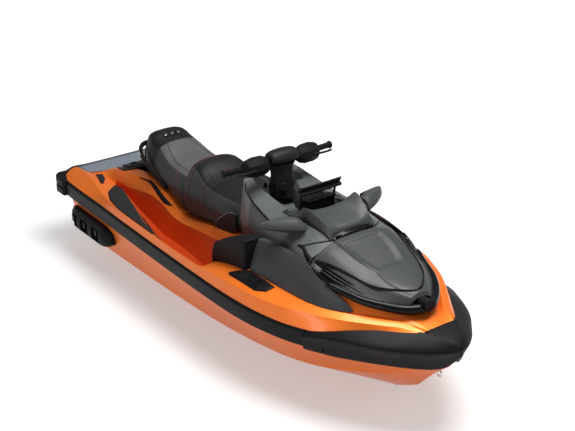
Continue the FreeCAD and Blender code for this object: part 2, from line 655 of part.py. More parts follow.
nozzle_y = aft(NOZZLE_PIVOT)
trim_ring = disc(nozzle_y - 16, nozzle_y + 16, RING_OUT).cut(disc(nozzle_y - 17, nozzle_y + 17, RING_IN))
ring_arm = box(RING_IN, RING_OUT, ring_y - 12, nozzle_y - 12, PUMP_Z - 12, PUMP_Z + 12)
ring_pin = rod((PUMP_R - 12, ring_y, PUMP_Z), (RING_IN + 2, ring_y, PUMP_Z), 6)
for piece in (ring_arm, ring_pin):
    trim_ring = trim_ring.fuse(piece).fuse(mirrored(piece))
pivot_bore = rod((0, nozzle_y, PUMP_Z - 100), (0, nozzle_y, PUMP_Z + 100), 7 + RUN_GAP)
trim_ring = trim_ring.cut(pivot_bore)

nozzle_end = aft(NOZZLE_END)
nozzle_outer = disc(nozzle_y - 11, nozzle_y + 18, NOZZLE_R)
nozzle_outer = nozzle_outer.fuse(cone(nozzle_y + 18, nozzle_end, NOZZLE_R, VENTURI_R + 8))
nozzle_inner = disc(nozzle_y - 12, nozzle_y + 18, NOZZLE_R - VENTURI_WALL)
nozzle_inner = nozzle_inner.fuse(cone(nozzle_y + 18, nozzle_end + 1, NOZZLE_R - VENTURI_WALL, VENTURI_R + 2))
nozzle = nozzle_outer.cut(nozzle_inner)
for sign in (-1, 1):
    nozzle_pin = rod((0, nozzle_y, PUMP_Z + sign * (NOZZLE_R - 4)), (0, nozzle_y, PUMP_Z + sign * RING_OUT), 7)
    nozzle = nozzle.fuse(nozzle_pin)

gate_start = V(-GATE_HALF, gate_y, PUMP_Z)
gate_shell = Part.makeCylinder(GATE_R, 2 * GATE_HALF, gate_start, V(1, 0, 0))
gate_shell = gate_shell.cut(Part.makeCylinder(GATE_R - GATE_WALL, 2 * GATE_HALF, gate_start, V(1, 0, 0)))
gate_sector = profile_prism([(gate_y, PUMP_Z), (gate_y + 400, PUMP_Z - 160), (gate_y + 400, PUMP_Z + 160)],
                            -GATE_HALF, GATE_HALF)
gate_shell = gate_shell.common(gate_sector)
CHEEK = [(-16, -16), (16, -20), (203, -78), (214, 0), (203, 78), (16, 20), (-16, 16)]
gate_cheek = profile_prism([(gate_y + y, PUMP_Z + z) for y, z in CHEEK], GATE_HALF - 8, GATE_HALF)
gate_cheek = gate_cheek.cut(rod((GATE_HALF - 12, gate_y, PUMP_Z), (GATE_HALF + 8, gate_y, PUMP_Z), 8 + RUN_GAP))
gate = gate_shell.fuse(gate_cheek).fuse(mirrored(gate_cheek))
gate = gate.rotated(V(0, gate_y, PUMP_Z), V(1, 0, 0), GATE_REST)

# --- Files ---------------------------------------------------------------------------------------------------

NODES = {
    "hull": hull,
    "deck": deck,
    "side_rails": pair(side_rail),
    "bow_guard": bow_guard,
    "corner_bumpers": pair(corner_bumper),
    "kick_pads": pair(kick_pad),
    "side_vents": pair(side_vent),
    "side_panels": pair(side_panel),
    "console": console,
    "hood": hood,
    "hood_trim": pair(hood_trim),
    "nose_badge": nose_badge,
    "storage_bin": storage_bin,
    "cowl": cowl,
    "wind_deflector": deflector,
    "gauge": gauge,
    "lid_hinges": pair(lid_hinge),
    "mirror_housings": pair(mirror),
    "mirror_glasses": pair(glass_plate),
    "handlebar": bar,
    "grips": pair(grip),
    "switch_housings": pair(housing),
    "levers": pair(lever),
    "steering_stem": stem,
    "column_cover": column_cover,
    "bar_pad": bar_pad,
    "seat_front": seat_front,
    "seat_rear": seat_rear,
    "seat_back": seat_back,
    "grab_handle": grab_handle,
    "rear_hatch": rear_hatch,
    "rear_mat": rear_mat,
    "footwell_mats": pair(foot_mat),
    "gunwale_pads": apart(*[side for pad in gunwale_pads for side in (pad, mirrored(pad))]),
    "sponsons": pair(sponson),
    "bow_eye": bow_eye,
    "stern_eyes": pair(stern_eye),
    "accessory_sockets": pair(socket),
    "ride_plate": ride_plate,
    "intake_grate": grate,
    "engine": engine,
    "pump_housing": pump_housing,
    "impeller": impeller,
    "trim_ring": trim_ring,
    "steering_nozzle": nozzle,
    "reverse_gate": gate,
}

os.makedirs("parts", exist_ok=True)
for node_name, node_shape in NODES.items():
    write(node_name, node_shape)
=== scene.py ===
# %% [markdown]
# # A personal watercraft for up to three riders
# This notebook dresses a watercraft whose solids were made in CAD: an orange moulded hull and deck, dark
# grey body panels, a two-piece stepped seat, and a jet drive under the stern. The CAD pieces arrive as a
# fixed frame in metres, with X to port, Y to the stern, Z up and the waterline at zero. Everything added
# here rides on one of the frame's bodies, so that the bars still steer and the lid still lifts.

# %% Load the frame
import math
import bmesh
import bpy
from mathutils import Matrix, Vector
from mathutils.bvhtree import BVHTree


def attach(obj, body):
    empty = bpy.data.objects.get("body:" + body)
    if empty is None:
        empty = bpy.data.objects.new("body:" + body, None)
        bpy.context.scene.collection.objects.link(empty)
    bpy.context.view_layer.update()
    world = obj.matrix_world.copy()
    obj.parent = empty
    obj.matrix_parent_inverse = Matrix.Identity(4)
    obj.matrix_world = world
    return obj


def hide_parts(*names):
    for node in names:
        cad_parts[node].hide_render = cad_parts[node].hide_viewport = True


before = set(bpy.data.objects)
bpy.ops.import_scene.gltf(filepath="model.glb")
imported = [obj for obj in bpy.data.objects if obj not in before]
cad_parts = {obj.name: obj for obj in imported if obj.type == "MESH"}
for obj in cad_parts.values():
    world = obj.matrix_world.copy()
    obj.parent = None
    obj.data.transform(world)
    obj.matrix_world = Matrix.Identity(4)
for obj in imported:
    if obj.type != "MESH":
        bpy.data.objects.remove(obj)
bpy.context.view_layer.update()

# %% [markdown]
# ## Measures and the first mesh helpers
# Boat builders measure heights from the keel, in millimetres, so the tables below do too; `place` turns
# them into metres above the waterline. Most of a moulded craft is long skins with a few sharp folds. One
# could push a subdivided box about, but a skin is clearer when its profile is drawn once and then extruded
# station by station. `skin` does that with the edge extrude operator and remembers each vertex's line and
# station, so that folds can be picked out by number afterwards.

# %% Drawing skins
WATERLINE = 210
UP = (0, 0, 1)


def place(x, y, z):
    """Millimetres from the keel to metres from the waterline."""
    return Vector((x / 1000, y / 1000, (z - WATERLINE) / 1000))


def measure(spot):
    """Metres from the waterline back to millimetres from the keel."""
    return spot.x * 1000, spot.y * 1000, spot.z * 1000 + WATERLINE


def new_mesh():
    """An empty bmesh with the layers that number its lines and stations and hold its creases."""
    bm = bmesh.new()
    bm.verts.layers.int.new("line")
    bm.verts.layers.int.new("station")
    bm.edges.layers.float.new("crease_edge")
    return bm


def numbering(bm):
    """The layers that hold each vertex's line and station."""
    return bm.verts.layers.int["line"], bm.verts.layers.int["station"]


def close(bm, wanted=lambda edge: True):
    """Fill the open loops whose edges are wanted."""
    bmesh.ops.holes_fill(bm, edges=[e for e in bm.edges if e.is_boundary and wanted(e)], sides=0)
    return bm


def skin(rows, closed=False, ends=False):
    """Extrude the first row of points through the others, and cap a closed section's ends if asked."""
    bm = new_mesh()
    line, station = numbering(bm)
    front = [bm.verts.new(place(*point)) for point in rows[0]]
    for k, vert in enumerate(front):
        vert[line] = k
    edges = [bm.edges.new(pair) for pair in zip(front, front[1:])]
    if closed:
        edges.append(bm.edges.new((front[-1], front[0])))
    for number, row in enumerate(rows[1:], 1):
        made = bmesh.ops.extrude_edge_only(bm, edges=edges)["geom"]
        fresh = {v for v in made if isinstance(v, bmesh.types.BMVert)}
        edges = [e for e in made if isinstance(e, bmesh.types.BMEdge) and fresh.issuperset(e.verts)]
        following = {edge.other_vert(vert): vert for vert in fresh for edge in vert.link_edges}
        front = [following[vert] for vert in front]
        for k, (vert, point) in enumerate(zip(front, row)):
            vert.co = place(*point)
            vert[line], vert[station] = k, number
    return close(bm) if ends else bm


def profiles(table):
    """Rows of points from a table whose rows hold y and then (x, z) pairs."""
    return [[(x, y, z) for x, z in pairs] for y, *pairs in table]


def boxed(table, section):
    """Rows of points from x, front y, rear y, low z and high z, with the section given as fractions."""
    return [[(x, front + u * (rear - front), low + v * (high - low)) for u, v in section]
            for x, front, rear, low, high in table]


def crease(bm, lines=None, stations=None, between=(0, 999)):
    """Sharpen edges along numbered lines, or across at numbered stations, given as {numbers: amount}."""
    line, station = numbering(bm)
    fold = bm.edges.layers.float["crease_edge"]
    for edge in bm.edges:
        (a, b), (start, stop) = [sorted(v[layer] for v in edge.verts) for layer in (line, station)]
        if a == b:
            asked = lines if between[0] <= start and stop <= between[1] else None
        else:
            asked = stations if start == stop else None
        for numbers, amount in (asked or {}).items():
            if (a if a == b else start) in numbers:
                edge[fold] = amount


def second_cover(bm, lines, stations):
    """Give faces within a range of lines and of stations the second material."""
    ranges = list(zip(numbering(bm), (lines, stations)))
    for face in bm.faces:
        if all(first <= v[layer] <= last for v in face.verts for layer, (first, last) in ranges):
            face.material_index = 1


print("keel at", place(0, 0, 0).z)

# %% [markdown]
# ## Finishing a piece
# Port and starboard are alike, so most pieces are drawn on one side and mirrored. Mirroring turns faces
# inside out, so doubles are merged and the normals are worked out again before a wall is given its
# thickness. Bevel and Subdivision Surface stay live as modifiers, which keeps the drawn mesh small. A
# strong crease is also marked sharp, because smooth shading would otherwise blur it into a soft roll.

# %% Mirror, block, join and finish
SHARP_CREASE = 0.6
BEVEL_ANGLE = 28
CENTRE_GAP, DOUBLE_GAP = 0.0003, 0.00002
SLOTS = {}


def mirror(bm):
    """Add the other half across the centreline."""
    bmesh.ops.mirror(bm, geom=bm.verts[:] + bm.edges[:] + bm.faces[:], matrix=Matrix.Identity(4),
                     merge_dist=CENTRE_GAP, axis="X")
    return bm


def block(points, depth):
    """A flat outline of points pushed through by a depth, both in millimetres."""
    bm = new_mesh()
    face = bm.faces.new([bm.verts.new(place(*point)) for point in points])
    pushed = bmesh.ops.extrude_face_region(bm, geom=[face])["geom"]
    bmesh.ops.translate(bm, verts=[v for v in pushed if isinstance(v, bmesh.types.BMVert)],
                        vec=Vector(depth) / 1000)
    return bm


def join(*meshes):
    """Several bmeshes as one."""
    whole = new_mesh()
    for bm in meshes:
        part = bpy.data.meshes.new("part")
        bm.to_mesh(part)
        bm.free()
        whole.from_mesh(part)
        bpy.data.meshes.remove(part)
    return whole


def finish(bm, name, material, body="root", slot=None, instead=None, rise=None, wall=0, bevel=0,
           smooth=0, fold=35, steps=2):
    """Turn a bmesh into a piece on a body. rise is a way its faces look; slot is worked out but not used."""
    bmesh.ops.remove_doubles(bm, verts=bm.verts[:], dist=DOUBLE_GAP)
    bmesh.ops.recalc_face_normals(bm, faces=bm.faces[:])
    if rise and sum(f.normal.dot(Vector(rise)) * f.calc_area() for f in bm.faces) < 0:
        bmesh.ops.reverse_faces(bm, faces=bm.faces[:])
    for face in bm.faces:
        face.smooth = True
    folds = bm.edges.layers.float["crease_edge"]
    for edge in bm.edges:
        steep = edge.is_manifold and math.degrees(edge.calc_face_angle(0)) > fold
        edge.smooth = edge[folds] < SHARP_CREASE if smooth else not steep
    mesh = bpy.data.meshes.new(name)
    bm.to_mesh(mesh)
    bm.free()
    mesh.materials.append(material)
    piece = bpy.data.objects.new(name, mesh)
    bpy.context.scene.collection.objects.link(piece)
    if wall:
        thick = piece.modifiers.new("Wall", "SOLIDIFY")
        thick.thickness, thick.offset = wall / 1000, -1
    if bevel:
        edges = piece.modifiers.new("Edges", "BEVEL")
        edges.width, edges.segments, edges.limit_method = bevel / 1000, steps, "ANGLE"
        edges.angle_limit, edges.harden_normals = math.radians(BEVEL_ANGLE), True
    if smooth:
        soft = piece.modifiers.new("Smooth", "SUBSURF")
        soft.levels = soft.render_levels = smooth
    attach(piece, body)
    slot = SLOTS.get(material.name) if slot is None else slot
    if instead:
        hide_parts(instead)
    return piece


print("helpers ready")

# %% [markdown]
# ## Camera
# A product view from the starboard bow with a long lens, so that the near bow doesn't swell. The camera
# looks along a bearing of 38 degrees and down by 25, with a slight roll.

# %% Camera
BEARING, PITCH, ROLL = math.radians(-38.30), math.radians(24.74), math.radians(0.81)
CAMERA_AT = (-4.423, -5.822, 3.8165)
LENS, FAR = 81.391304, 200
back = Vector((math.sin(BEARING) * math.cos(PITCH), -math.cos(BEARING) * math.cos(PITCH), math.sin(PITCH)))
level = (-back).cross(Vector(UP)).normalized()
upward = level.cross(-back)
right = level * math.cos(ROLL) + upward * math.sin(ROLL)
up = upward * math.cos(ROLL) - level * math.sin(ROLL)
camera = bpy.data.objects.new("camera", bpy.data.cameras.new("camera"))
camera.data.lens, camera.data.clip_end = LENS, FAR
camera.matrix_world = Matrix((right, up, back)).transposed().to_4x4()
camera.location = CAMERA_AT
bpy.context.scene.collection.objects.link(camera)
bpy.context.scene.camera = camera
print("lens", round(camera.data.lens, 1))

# %% [markdown]
# ## Building materials from nodes
# The finishes and the floor are all node trees. Adding each node and each link by hand would take pages,
# so `node` adds one, gives its inputs their values, and links any input that is given another's output.

# %% Node helpers
def tree_of(owner):
    """The node tree of a material or world, switched on and emptied."""
    owner.use_nodes = True
    owner.node_tree.nodes.clear()
    return owner.node_tree


def node(tree, kind, feeds=None, **settings):
    """Add a node. feeds gives inputs a value each, or the output of another node to link to."""
    made = tree.nodes.new("ShaderNode" + kind)
    for key, value in settings.items():
        setattr(made, key, value)
    for key, value in (feeds or {}).items():
        if isinstance(value, bpy.types.NodeSocket):
            tree.links.new(value, made.inputs[key])
        else:
            made.inputs[key].default_value = value
    return made


print("node helpers ready")

# %% [markdown]
# ## Floor and light
# The craft stands on a white studio floor. The floor is an ordinary pale diffuse surface, so that it keeps
# a soft shadow; for camera and mirror rays it also glows, more towards its far edges, which takes it up to
# white without putting more light on the paint. One broad lamp overhead models the deck. A low, wide one
# lights the near flank without reaching into the footwell, and a long strip ahead of the bow gives the
# gloss paint something narrow to reflect.

# %% Studio
FLOOR_SIZE, FLOOR_LEVEL = 45, -0.2125
floor_paint = bpy.data.materials.new("studio_floor")
tree = tree_of(floor_paint)
reach = node(tree, "VectorMath", {0: node(tree, "TexCoord").outputs["Object"]}, operation="LENGTH")
fade = node(tree, "MapRange", {"Value": reach.outputs["Value"], "From Min": 1.2, "From Max": 7.0,
                               "To Min": 0.42, "To Max": 0.95})
paths = node(tree, "LightPath").outputs
seen = node(tree, "Math", {0: paths["Is Camera Ray"], 1: paths["Is Glossy Ray"]}, operation="MAXIMUM")
lit = node(tree, "Math", {0: seen.outputs[0], 1: fade.outputs["Result"]}, operation="MULTIPLY")
matt = node(tree, "BsdfDiffuse", {"Color": (0.60, 0.595, 0.59, 1)})
glow = node(tree, "Emission", {"Strength": lit.outputs[0]})
both = node(tree, "AddShader", {0: matt.outputs[0], 1: glow.outputs[0]})
node(tree, "OutputMaterial", {"Surface": both.outputs[0]})
bm = bmesh.new()
bmesh.ops.create_grid(bm, x_segments=1, y_segments=1, size=FLOOR_SIZE)
bmesh.ops.translate(bm, verts=bm.verts, vec=(0, 0, FLOOR_LEVEL))
mesh = bpy.data.meshes.new("floor")
bm.to_mesh(mesh)
bm.free()
mesh.materials.append(floor_paint)
floor = bpy.data.objects.new("floor", mesh)
bpy.context.scene.collection.objects.link(floor)

world = bpy.context.scene.world = bpy.data.worlds.new("studio")
tree = tree_of(world)
dim = node(tree, "Background", {"Color": (0.93, 0.96, 1.0, 1), "Strength": 0.20})
white = node(tree, "Background")
pick = node(tree, "MixShader", {"Fac": node(tree, "LightPath").outputs["Is Camera Ray"],
                                1: dim.outputs[0], 2: white.outputs[0]})
node(tree, "OutputWorld", {"Surface": pick.outputs[0]})


def lamp(name, at, towards, width, length, power):
    """A soft rectangular lamp that faces a point."""
    data = bpy.data.lights.new(name, "AREA")
    data.shape = "RECTANGLE"
    data.size, data.size_y, data.energy = width, length, power
    item = bpy.data.objects.new(name, data)
    item.location = at
    item.rotation_euler = (Vector(towards) - Vector(at)).to_track_quat("-Z", "Y").to_euler()
    bpy.context.scene.collection.objects.link(item)


lamp("overhead", (0.7, -0.9, 5.2), (0, 0, 0), 3.2, 3.2, 410)
lamp("near_side", (-5.6, -2.6, 0.15), (0, 0, 0.22), 4.0, 0.5, 60)
lamp("bow_strip", (1.5, -6.0, 3.0), (0, -0.8, 0.2), 1.6, 4.0, 22)
bpy.context.scene.view_settings.view_transform = "Standard"
print("studio ready")

# %% [markdown]
# ## Finishes
# Every finish here is worked out from noise and the object's own coordinates, so it sticks to the piece
# when the bars turn or the lid lifts. `finish_base` makes a Principled shader whose colour wanders a
# little, because real mouldings are never one flat value, and whose surface has a fine grain from a bump.

# %% A base for every finish
def finish_base(name, colour, roughness, grain=600, depth=0.00012, spread=0.10, patch=7.0,
                rough_spread=0.06, shine=0.2, more=None):
    """A Principled material with slight patches of colour and gloss and a fine grain."""
    material = bpy.data.materials.new(name)
    tree = tree_of(material)
    where = node(tree, "TexCoord", name="Where").outputs["Object"]
    cloud = node(tree, "TexNoise", {"Vector": where, "Scale": patch, "Detail": 6}).outputs["Fac"]
    ramp = node(tree, "ValToRGB", {"Fac": cloud}, name="Colour")
    for stop, factor in ((0, 1 - spread), (1, 1 + spread)):
        ramp.color_ramp.elements[stop].position = 0.3 + 0.4 * stop
        ramp.color_ramp.elements[stop].color = [min(1, c * factor) for c in colour] + [1]
    gloss = node(tree, "MapRange", {"Value": cloud, "To Min": max(0.02, roughness - rough_spread),
                                    "To Max": roughness + rough_spread})
    pebble = node(tree, "TexNoise", {"Vector": where, "Scale": grain, "Detail": 3}, name="Grain")
    bump = node(tree, "Bump", {"Height": pebble.outputs["Fac"], "Strength": 0.5, "Distance": depth},
                name="Bump")
    feeds = {"Base Color": ramp.outputs["Color"], "Roughness": gloss.outputs["Result"],
             "Normal": bump.outputs["Normal"], "Specular IOR Level": shine}
    shader = node(tree, "BsdfPrincipled", feeds | (more or {}), name="Shader")
    node(tree, "OutputMaterial", {"Surface": shader.outputs[0]})
    return material


def coat(weight, roughness=0.03):
    """The inputs of a clear coat."""
    return {"Coat Weight": weight, "Coat Roughness": roughness}


print("finish base ready")

# %% [markdown]
# ## Metallic gelcoat
# The orange is a metallic paint: tiny flakes under a clear coat. A little metal in the base gives the deep
# falloff from lit to shaded panels, and a clear coat with its own low roughness gives the sharp highlight.
# Flakes come from a very fine cell texture that lightens and darkens single specks. The footwell takes
# a darker copy of the same paint, which is painted shade: it stands in for the shadow that falls into it.

# %% Orange gelcoat
def flaked(name, colour):
    """A metallic paint with flakes and a clear coat."""
    material = finish_base(name, colour, 0.42, grain=2500, depth=0.00003, spread=0.05, patch=2.2,
                           rough_spread=0.03, more={"Metallic": 0.40} | coat(0.30, 0.15))
    tree = material.node_tree
    parts = tree.nodes
    flakes = node(tree, "TexVoronoi", {"Vector": parts["Where"].outputs["Object"], "Scale": 1400})
    speck = node(tree, "MapRange", {"Value": flakes.outputs["Color"], "To Min": 0.86, "To Max": 1.16})
    tint = node(tree, "VectorMath", {0: parts["Colour"].outputs["Color"], "Scale": speck.outputs["Result"]},
                operation="SCALE")
    tree.links.new(tint.outputs[0], parts["Shader"].inputs["Base Color"])
    return material


gelcoat = flaked("orange_gelcoat", (0.88, 0.185, 0.016))
# a darker copy of the gelcoat: painted shade for the shadow in the footwell
gelcoat_painted_shade = flaked("orange_gelcoat_painted_shade", (0.57, 0.058, 0.006))
print("gelcoat", gelcoat.name)

# %% [markdown]
# ## Plastics, rubber and trim
# The dark panels are satin painted mouldings, slightly glossier than the bare black plastics of the guard,
# the rails and the bumpers, which come out of a textured mould. The band round the hood is polished black.
# The same base does for all of them; only colour, gloss and grain change.

# %% Plastics and rubber
def satin(name, colour, roughness=0.44, more=None):
    """A satin painted moulding."""
    return finish_base(name, colour, roughness, grain=1500, depth=0.00002, spread=0.05, more=more)


def black(name, colour, roughness, grain, depth, shine=0.08, **others):
    """A bare black moulding."""
    return finish_base(name, colour, roughness, grain=grain, depth=depth, shine=shine, **others)


satin_grey = satin("satin_panel_grey", (0.046, 0.049, 0.050), more=coat(0.12, 0.25))
console_grey = satin("satin_console_grey", (0.092, 0.097, 0.098))
satin_light = satin("satin_edge_grey", (0.15, 0.158, 0.162), 0.36, coat(0.2, 0.2))
moulded_black = black("moulded_black", (0.009, 0.009, 0.010), 0.50, 900, 0.00018)
guard_grey = black("guard_black", (0.0065, 0.0067, 0.007), 0.46, 1100, 0.0001, shine=0.13)
soft_rubber = black("soft_rubber", (0.008, 0.008, 0.009), 0.62, 500, 0.0003)
bar_black = black("powder_black", (0.009, 0.009, 0.010), 0.38, 1300, 0.00016)
gloss_black = black("polished_black", (0.006, 0.006, 0.007), 0.20, 1800, 0.00001, rough_spread=0.03,
                    more=coat(0.15))
bin_black = finish_base("bin_black", (0.03, 0.031, 0.032), 0.55, grain=700, depth=0.0003)
thread = finish_base("red_thread", (0.27, 0.040, 0.018), 0.6, grain=2200, depth=0.0002)
piping = finish_base("seat_piping", (0.016, 0.016, 0.018), 0.5, grain=1200, depth=0.0001)
print("plastics ready")

# %% [markdown]
# ## Metals and glass
# Stainless eyes and studs are bright and slightly brushed; the cast pump is duller and rougher. The mirror
# glass is a smooth metal surface, and the gauge lens is a clear coat over black.

# %% Metals and glass
def metal(name, colour, roughness, metallic, **grain):
    """A metal, more or less bright."""
    return finish_base(name, colour, roughness, more={"Metallic": metallic}, **grain)


stainless = metal("stainless", (0.60, 0.60, 0.59), 0.20, 1.0, grain=300, depth=0.00004, spread=0.04)
cast_alloy = metal("cast_alloy", (0.42, 0.43, 0.44), 0.42, 0.9, grain=260, depth=0.0004, spread=0.12)
engine_grey = metal("engine_grey", (0.16, 0.165, 0.17), 0.5, 0.5, grain=220, depth=0.0005, spread=0.15)
plate_silver = metal("silver_plate", (0.33, 0.34, 0.35), 0.32, 0.7, grain=800, depth=0.00004)
mirror_face = metal("mirror_face", (0.72, 0.74, 0.76), 0.05, 1.0, grain=50, depth=0.000001, spread=0.02,
                    rough_spread=0.01)
lens_black = finish_base("gauge_lens", (0.008, 0.009, 0.011), 0.08, grain=50, depth=0.000001,
                         rough_spread=0.01, more=coat(1.0))
print("metals ready")

# %% [markdown]
# ## Seat vinyl and deck matting
# Marine vinyl has an embossed leather grain: small rounded cells with creases between them. A cell texture
# gives the pebbles and a broader noise keeps them from looking regular. The deck mats are closed-cell foam
# with grooves routed into them at an even spacing, made here by a wave texture driving the bump.

# %% Vinyl and matting
def press(material, height, share):
    """Drive the bump with a pattern's height and a share of the fine grain."""
    tree = material.node_tree
    blend = node(tree, "Math", {0: tree.nodes["Grain"].outputs["Fac"], 1: share, 2: height},
                 operation="MULTIPLY_ADD")
    tree.links.new(blend.outputs[0], tree.nodes["Bump"].inputs["Height"])
    return material


def embossed(name, colour, roughness, cell, depth):
    """Vinyl with a leather grain."""
    material = finish_base(name, colour, roughness, grain=cell, depth=depth, spread=0.12, patch=9,
                           more={"Sheen Weight": 0.05, "Sheen Roughness": 0.4})
    where = material.node_tree.nodes["Where"].outputs["Object"]
    cells = node(material.node_tree, "TexVoronoi", {"Vector": where, "Scale": cell}, feature="SMOOTH_F1")
    return press(material, cells.outputs["Distance"], 0.35)


def grooved(name, colour, pitch):
    """Foam matting with routed grooves."""
    material = finish_base(name, colour, 0.72, grain=900, depth=0.0012, patch=30)
    tree = material.node_tree
    grooves = node(tree, "TexWave", {"Vector": tree.nodes["Where"].outputs["Object"], "Scale": pitch})
    cut = node(tree, "MapRange", {"Value": grooves.outputs["Fac"], "From Min": 0.05, "From Max": 0.35})
    return press(material, cut.outputs["Result"], 0.2)


vinyl = embossed("seat_vinyl", (0.008, 0.008, 0.0085), 0.48, 420, 0.0004)
vinyl_side = embossed("seat_vinyl_grey", (0.038, 0.038, 0.039), 0.52, 300, 0.0005)
vinyl_black = embossed("bar_pad_vinyl", (0.006, 0.006, 0.0065), 0.55, 300, 0.0005)
vinyl_pale = embossed("seat_vinyl_pale", (0.078, 0.078, 0.081), 0.50, 480, 0.0004)
mat_grey = grooved("deck_mat", (0.17, 0.19, 0.22), 16)
mat_dark = grooved("dark_mat", (0.015, 0.0155, 0.0165), 26)
for slot, materials in {
        "hull_gelcoat": [gelcoat], "grey_panel": [satin_grey, console_grey], "steel_bar": [bar_black],
        "black_plastic": [moulded_black, gloss_black, satin_light], "rubber_black": [guard_grey, soft_rubber],
        "stainless": [stainless, plate_silver], "traction_mat": [mat_grey, mat_dark],
        "seat_vinyl": [vinyl, vinyl_side, vinyl_black, vinyl_pale, thread, piping]}.items():
    SLOTS.update({material.name: slot for material in materials})
print("finishes", len(bpy.data.materials))

# %% [markdown]
# ## The hull
# The hull is a deep V with a hard chine, closed along its top edge by the deck. The CAD hull stays under
# the water for its transom, tunnel and bottom; over it goes a smooth skin that carries the bow's curve.
# Two skins meet at the chine: the topsides above it and the forefoot below it. The chine lip is creased so
# that it stays a fold when the rest is smoothed.

# %% Stations of the hull
# y, keel height, chine half-breadth and height, half-breadth at the rail
HULL = [
    (1479, 0, 490, 150, 535), (1100, 0, 505, 155, 547), (815, 0, 509, 157, 563), (580, 0, 511, 159, 575),
    (310, 0, 512, 160, 587), (-60, 0, 508, 163, 602), (-400, 0, 490, 168, 609), (-700, 0, 455, 178, 590),
    (-860, 3, 425, 188, 557), (-1030, 14, 372, 205, 497), (-1120, 24, 335, 222, 458),
    (-1250, 56, 275, 248, 380), (-1340, 96, 228, 268, 322), (-1416, 142, 180, 290, 262),
    (-1500, 235, 125, 322, 195), (-1562, 300, 80, 345, 145), (-1640, 366, 20, 376, 52),
]
RAIL_FOOT = 386
BOW_FROM, FOREFOOT_FROM = -900, 250
CHINE_LIP, BOW_LIP = 4, 7
topside_rows, bottom_rows = [], []
for y, keel, chine_x, chine_z, side in HULL:
    outer = chine_x + (CHINE_LIP if y > BOW_FROM else BOW_LIP)
    lift, flare = RAIL_FOOT - chine_z, side - chine_x
    topside_rows.append([
        (outer, y, chine_z), (outer + 4, y, chine_z + 0.05 * lift), (outer + 4, y, chine_z + 0.12 * lift),
        (outer + 0.42 * flare, y, chine_z + 0.46 * lift), (outer + 0.80 * flare, y, chine_z + 0.82 * lift),
        (outer + flare, y, chine_z + lift), (side + 4, y, chine_z + lift + 8)])
    if y < FOREFOOT_FROM:
        rise = chine_z - keel
        bottom_rows.append([
            (0, y, keel - 1), (0.42 * chine_x + 4, y, keel + 0.38 * rise),
            (outer - 0.20 * chine_x, y, keel + 0.78 * rise), (outer, y, chine_z)])
topsides, forefoot = skin(topside_rows), skin(bottom_rows)
crease(topsides, lines={(0, 1): 0.7})
crease(forefoot, lines={(0, 3): 0.8})
topsides = finish(mirror(topsides), "hull_topsides", gelcoat, smooth=2)
forefoot = finish(mirror(forefoot), "hull_forefoot", gelcoat, rise=(0, 0, -1), smooth=2)
print("hull skins", len(topsides.data.polygons), len(forefoot.data.polygons))
